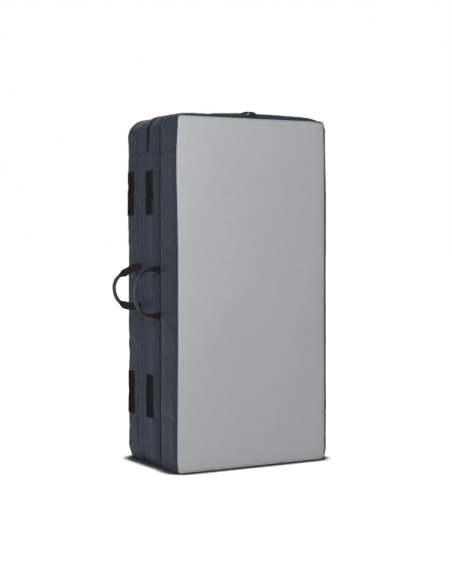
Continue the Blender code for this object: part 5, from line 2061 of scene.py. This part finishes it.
@dataclass
class Studio:
    """The floor, the lamps and the camera."""

    azimuth: float = -29.95
    elevation: float = 2.80
    distance: float = 4.4072
    target: tuple[float, float, float] = (0.0060, 0.0009, 0.5578)
    lens: float = 104.97
    # How far round the pad the painted contact shadow reaches
    painted_shadow_reach: float = 54 * MM
    floor_size: float = 60.0
    ambient: float = 0.42

    def build(self) -> None:
        """Make the studio."""
        self._camera()
        self._floor()
        self._lamps()
        self._world()
        bpy.context.scene.view_settings.view_transform = "Standard"

    def _camera(self) -> None:
        """Stand the camera in its place."""
        azimuth, elevation = math.radians(self.azimuth), math.radians(self.elevation)
        flat = math.cos(elevation)
        away = Vector((math.sin(azimuth) * flat, -math.cos(azimuth) * flat, math.sin(elevation)))
        data = bpy.data.cameras.new("camera")
        data.lens = self.lens
        data.sensor_fit = "HORIZONTAL"
        data.sensor_width = 36
        camera = new_object("camera", data)
        camera.location = Vector(self.target) + away * self.distance
        camera.rotation_euler = (-away).to_track_quat("-Z", "Y").to_euler()
        bpy.context.scene.camera = camera

    def _floor(self) -> None:
        """Lay a pale floor that shows white to the camera and keeps the pad's shadow from the lamps, with a
        painted contact shadow beside the pad.
        """
        paint = Paint("floor")
        # Painted shadow: ambient occlusion near the pad darkens the floor's colour and dims its glow, as
        # camera and glossy rays see it
        near = paint.node("ShaderNodeAmbientOcclusion", {"samples": 16}, {"Distance": self.painted_shadow_reach})
        clear = Number(paint, near.outputs["AO"]).between(0.67, 0.98)
        rays = paint.node("ShaderNodeLightPath").outputs
        seen = Number(paint, rays["Is Camera Ray"]) + Number(paint, rays["Is Glossy Ray"])
        pale = (1 - seen) + clear
        pale = pale.maths("MINIMUM", pale, 1.0)
        paint.finish(paint.blend(pale, (0.06, 0.06, 0.06), (0.92, 0.92, 0.92)), 0.9, Specular_IOR_Level=0.05)
        light = {"Color": (1, 1, 1, 1), "Strength": clear * 0.75}
        glow = paint.made("ShaderNodeEmission", inputs=light)
        off = paint.made("ShaderNodeEmission", inputs={"Color": (0, 0, 0, 1), "Strength": 0.0})
        choice = paint.made("ShaderNodeMixShader", inputs={0: seen, 1: off, 2: glow})
        both = paint.made("ShaderNodeAddShader", inputs={0: paint.shader.outputs[0], 1: choice})
        paint.fill(paint.output, {0: both})
        half = self.floor_size / 2
        points = np.array([[(x, y, 0) for x in (-half, half)] for y in (-half, half)])
        floor = new_object("floor", Grid(points).mesh("floor", (0, 0, -1)))
        floor.data.materials.append(paint.material)

    def _lamps(self) -> None:
        """Hang a key lamp at the upper left, a weak one at the right and a large one behind."""
        for name, place, size, power in (
            ("key", (-1.5, -1.6, 1.7), 1.2, 42),
            ("fill", (2.6, -2.4, 1.6), 2.0, 7),
            ("back", (0.6, 2.6, 2.4), 2.2, 24),
        ):
            data = bpy.data.lights.new(name, "AREA")
            data.shape = "DISK"
            data.size = size
            data.energy = power
            lamp = new_object(name, data)
            lamp.location = place
            aim = Vector((0, 0, 0.55)) - Vector(place)
            lamp.rotation_euler = aim.to_track_quat("-Z", "Y").to_euler()

    def _world(self) -> None:
        """Surround the pad with soft grey light that shows white to the camera."""
        world = bpy.data.worlds.new("studio")
        world.use_nodes = True
        bpy.context.scene.world = world
        tree = Tree(world.node_tree)
        rays = tree.node("ShaderNodeLightPath").outputs
        soft = tree.made("ShaderNodeBackground", inputs={"Color": (1, 1, 1, 1), "Strength": self.ambient})
        white = tree.made("ShaderNodeBackground", inputs={"Color": (1, 1, 1, 1)})
        seen = {0: rays["Is Camera Ray"], 1: rays["Is Transmission Ray"]}
        either = tree.made("ShaderNodeMath", {"operation": "MAXIMUM"}, seen)
        choice = tree.made("ShaderNodeMixShader", inputs={0: either, 1: soft, 2: white})
        tree.node("ShaderNodeOutputWorld", inputs={0: choice})


def main() -> None:
    """Build the studio and the pad, assembly by assembly."""
    logging.basicConfig(level=logging.INFO, format="%(message)s")
    Studio().build()
    shop = Workshop()
    zip_low, zip_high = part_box("zip_tape")
    covers = {
        "front_panel": PanelCover(
            PanelShape(
                "front_panel", corners=mm(6, 6), side_crowns=mm(6, 6.6), lean=0.4, square=True,
                roll=4.5 * MM,
                top_crowns=(
                    (-275, 3.5), (-262, 6.5), (-240, 10.5), (-155, 11), (-53, 16.5), (12, 17), (120, 17),
                    (155, 16), (190, 15), (215, 13), (270, 4.5),
                ),
                droop=(0, 4.5 * MM), foot_lift=3.2 * MM,
                seam_draw=mm(1.5, 6.5, 3), foot_draw=3.5 * MM, foot_reach=38 * MM,
                bows=(
                    (
                        (0, 4), (90, 4), (230, 2.7), (385, 1), (700, 0.5), (853, 3.2), (930, 5.5),
                        (1010, 5.5), (1120, -1),
                    ),
                    (
                        (0, 3), (230, 2.5), (385, 1.2), (853, -0.8), (978, -1.7), (1020, -3), (1083, -5.3),
                        (1120, -5.5),
                    ),
                ),
            ),
            Slot.GREY,
            seed=11,
        ),
        "middle_panel": PanelCover(
            PanelShape("middle_panel", seam_draw=mm(6.5, 1.5, 1.5)), seed=23,
            zip_line=(zip_low.y + zip_high.y) / 2,
        ),
        "rear_panel": PanelCover(
            PanelShape(
                "rear_panel", rounded=True, corners=mm(13, 42), foot_draw=10 * MM,
                top_crowns=((-262, 0.5), (-242, 6), (-200, 9), (0, 9.5), (200, 9), (242, 6), (262, 0.5)),
            ),
            seed=37,
        ),
    }
    for cover in covers.values():
        cover.build(shop)
    LoopStrips().build(shop, covers)
    joints = {joint["name"]: joint for joint in frame["record"]["behaviour"]["joints"]}
    hinges = (
        ("fold_left", FabricHinge(
            "left_hinge_fabric", Side.LEFT, ("middle_panel", "rear_panel"), True,
            ("left_hinge_middle_leaf", "left_hinge_rear_leaf"),
        )),
        ("fold_right", FabricHinge(
            "right_hinge_fabric", Side.RIGHT, ("front_panel", "middle_panel"), False,
            ("right_hinge_front_leaf", "right_hinge_middle_leaf"),
        )),
    )
    for joint, hinge in hinges:
        hinge.build(shop, covers, tuple(joints[joint]["pos_m"][:2]))
    CarryHandle(
        "rear_handle", joints["rear_handle_swing"]["pos_m"], reach=91.5 * MM, span=130 * MM, slope=14 * MM,
        taper=(0.62, 0.84), tuck=5 * MM,
    ).build(shop)
    CarryHandle(
        "front_handle", joints["front_handle_swing"]["pos_m"], reach=100.5 * MM, span=149 * MM, tilt=12.0,
        seed=8,
    ).build(shop)
    Zip().build(shop, covers["middle_panel"])
    TopClosure().build(shop, covers)
    ShoulderHarness().build(shop, covers["rear_panel"])
    WaistBelt().build(shop, covers["rear_panel"])
    shop.make_stitches()


if __name__ == "__main__":
    main()
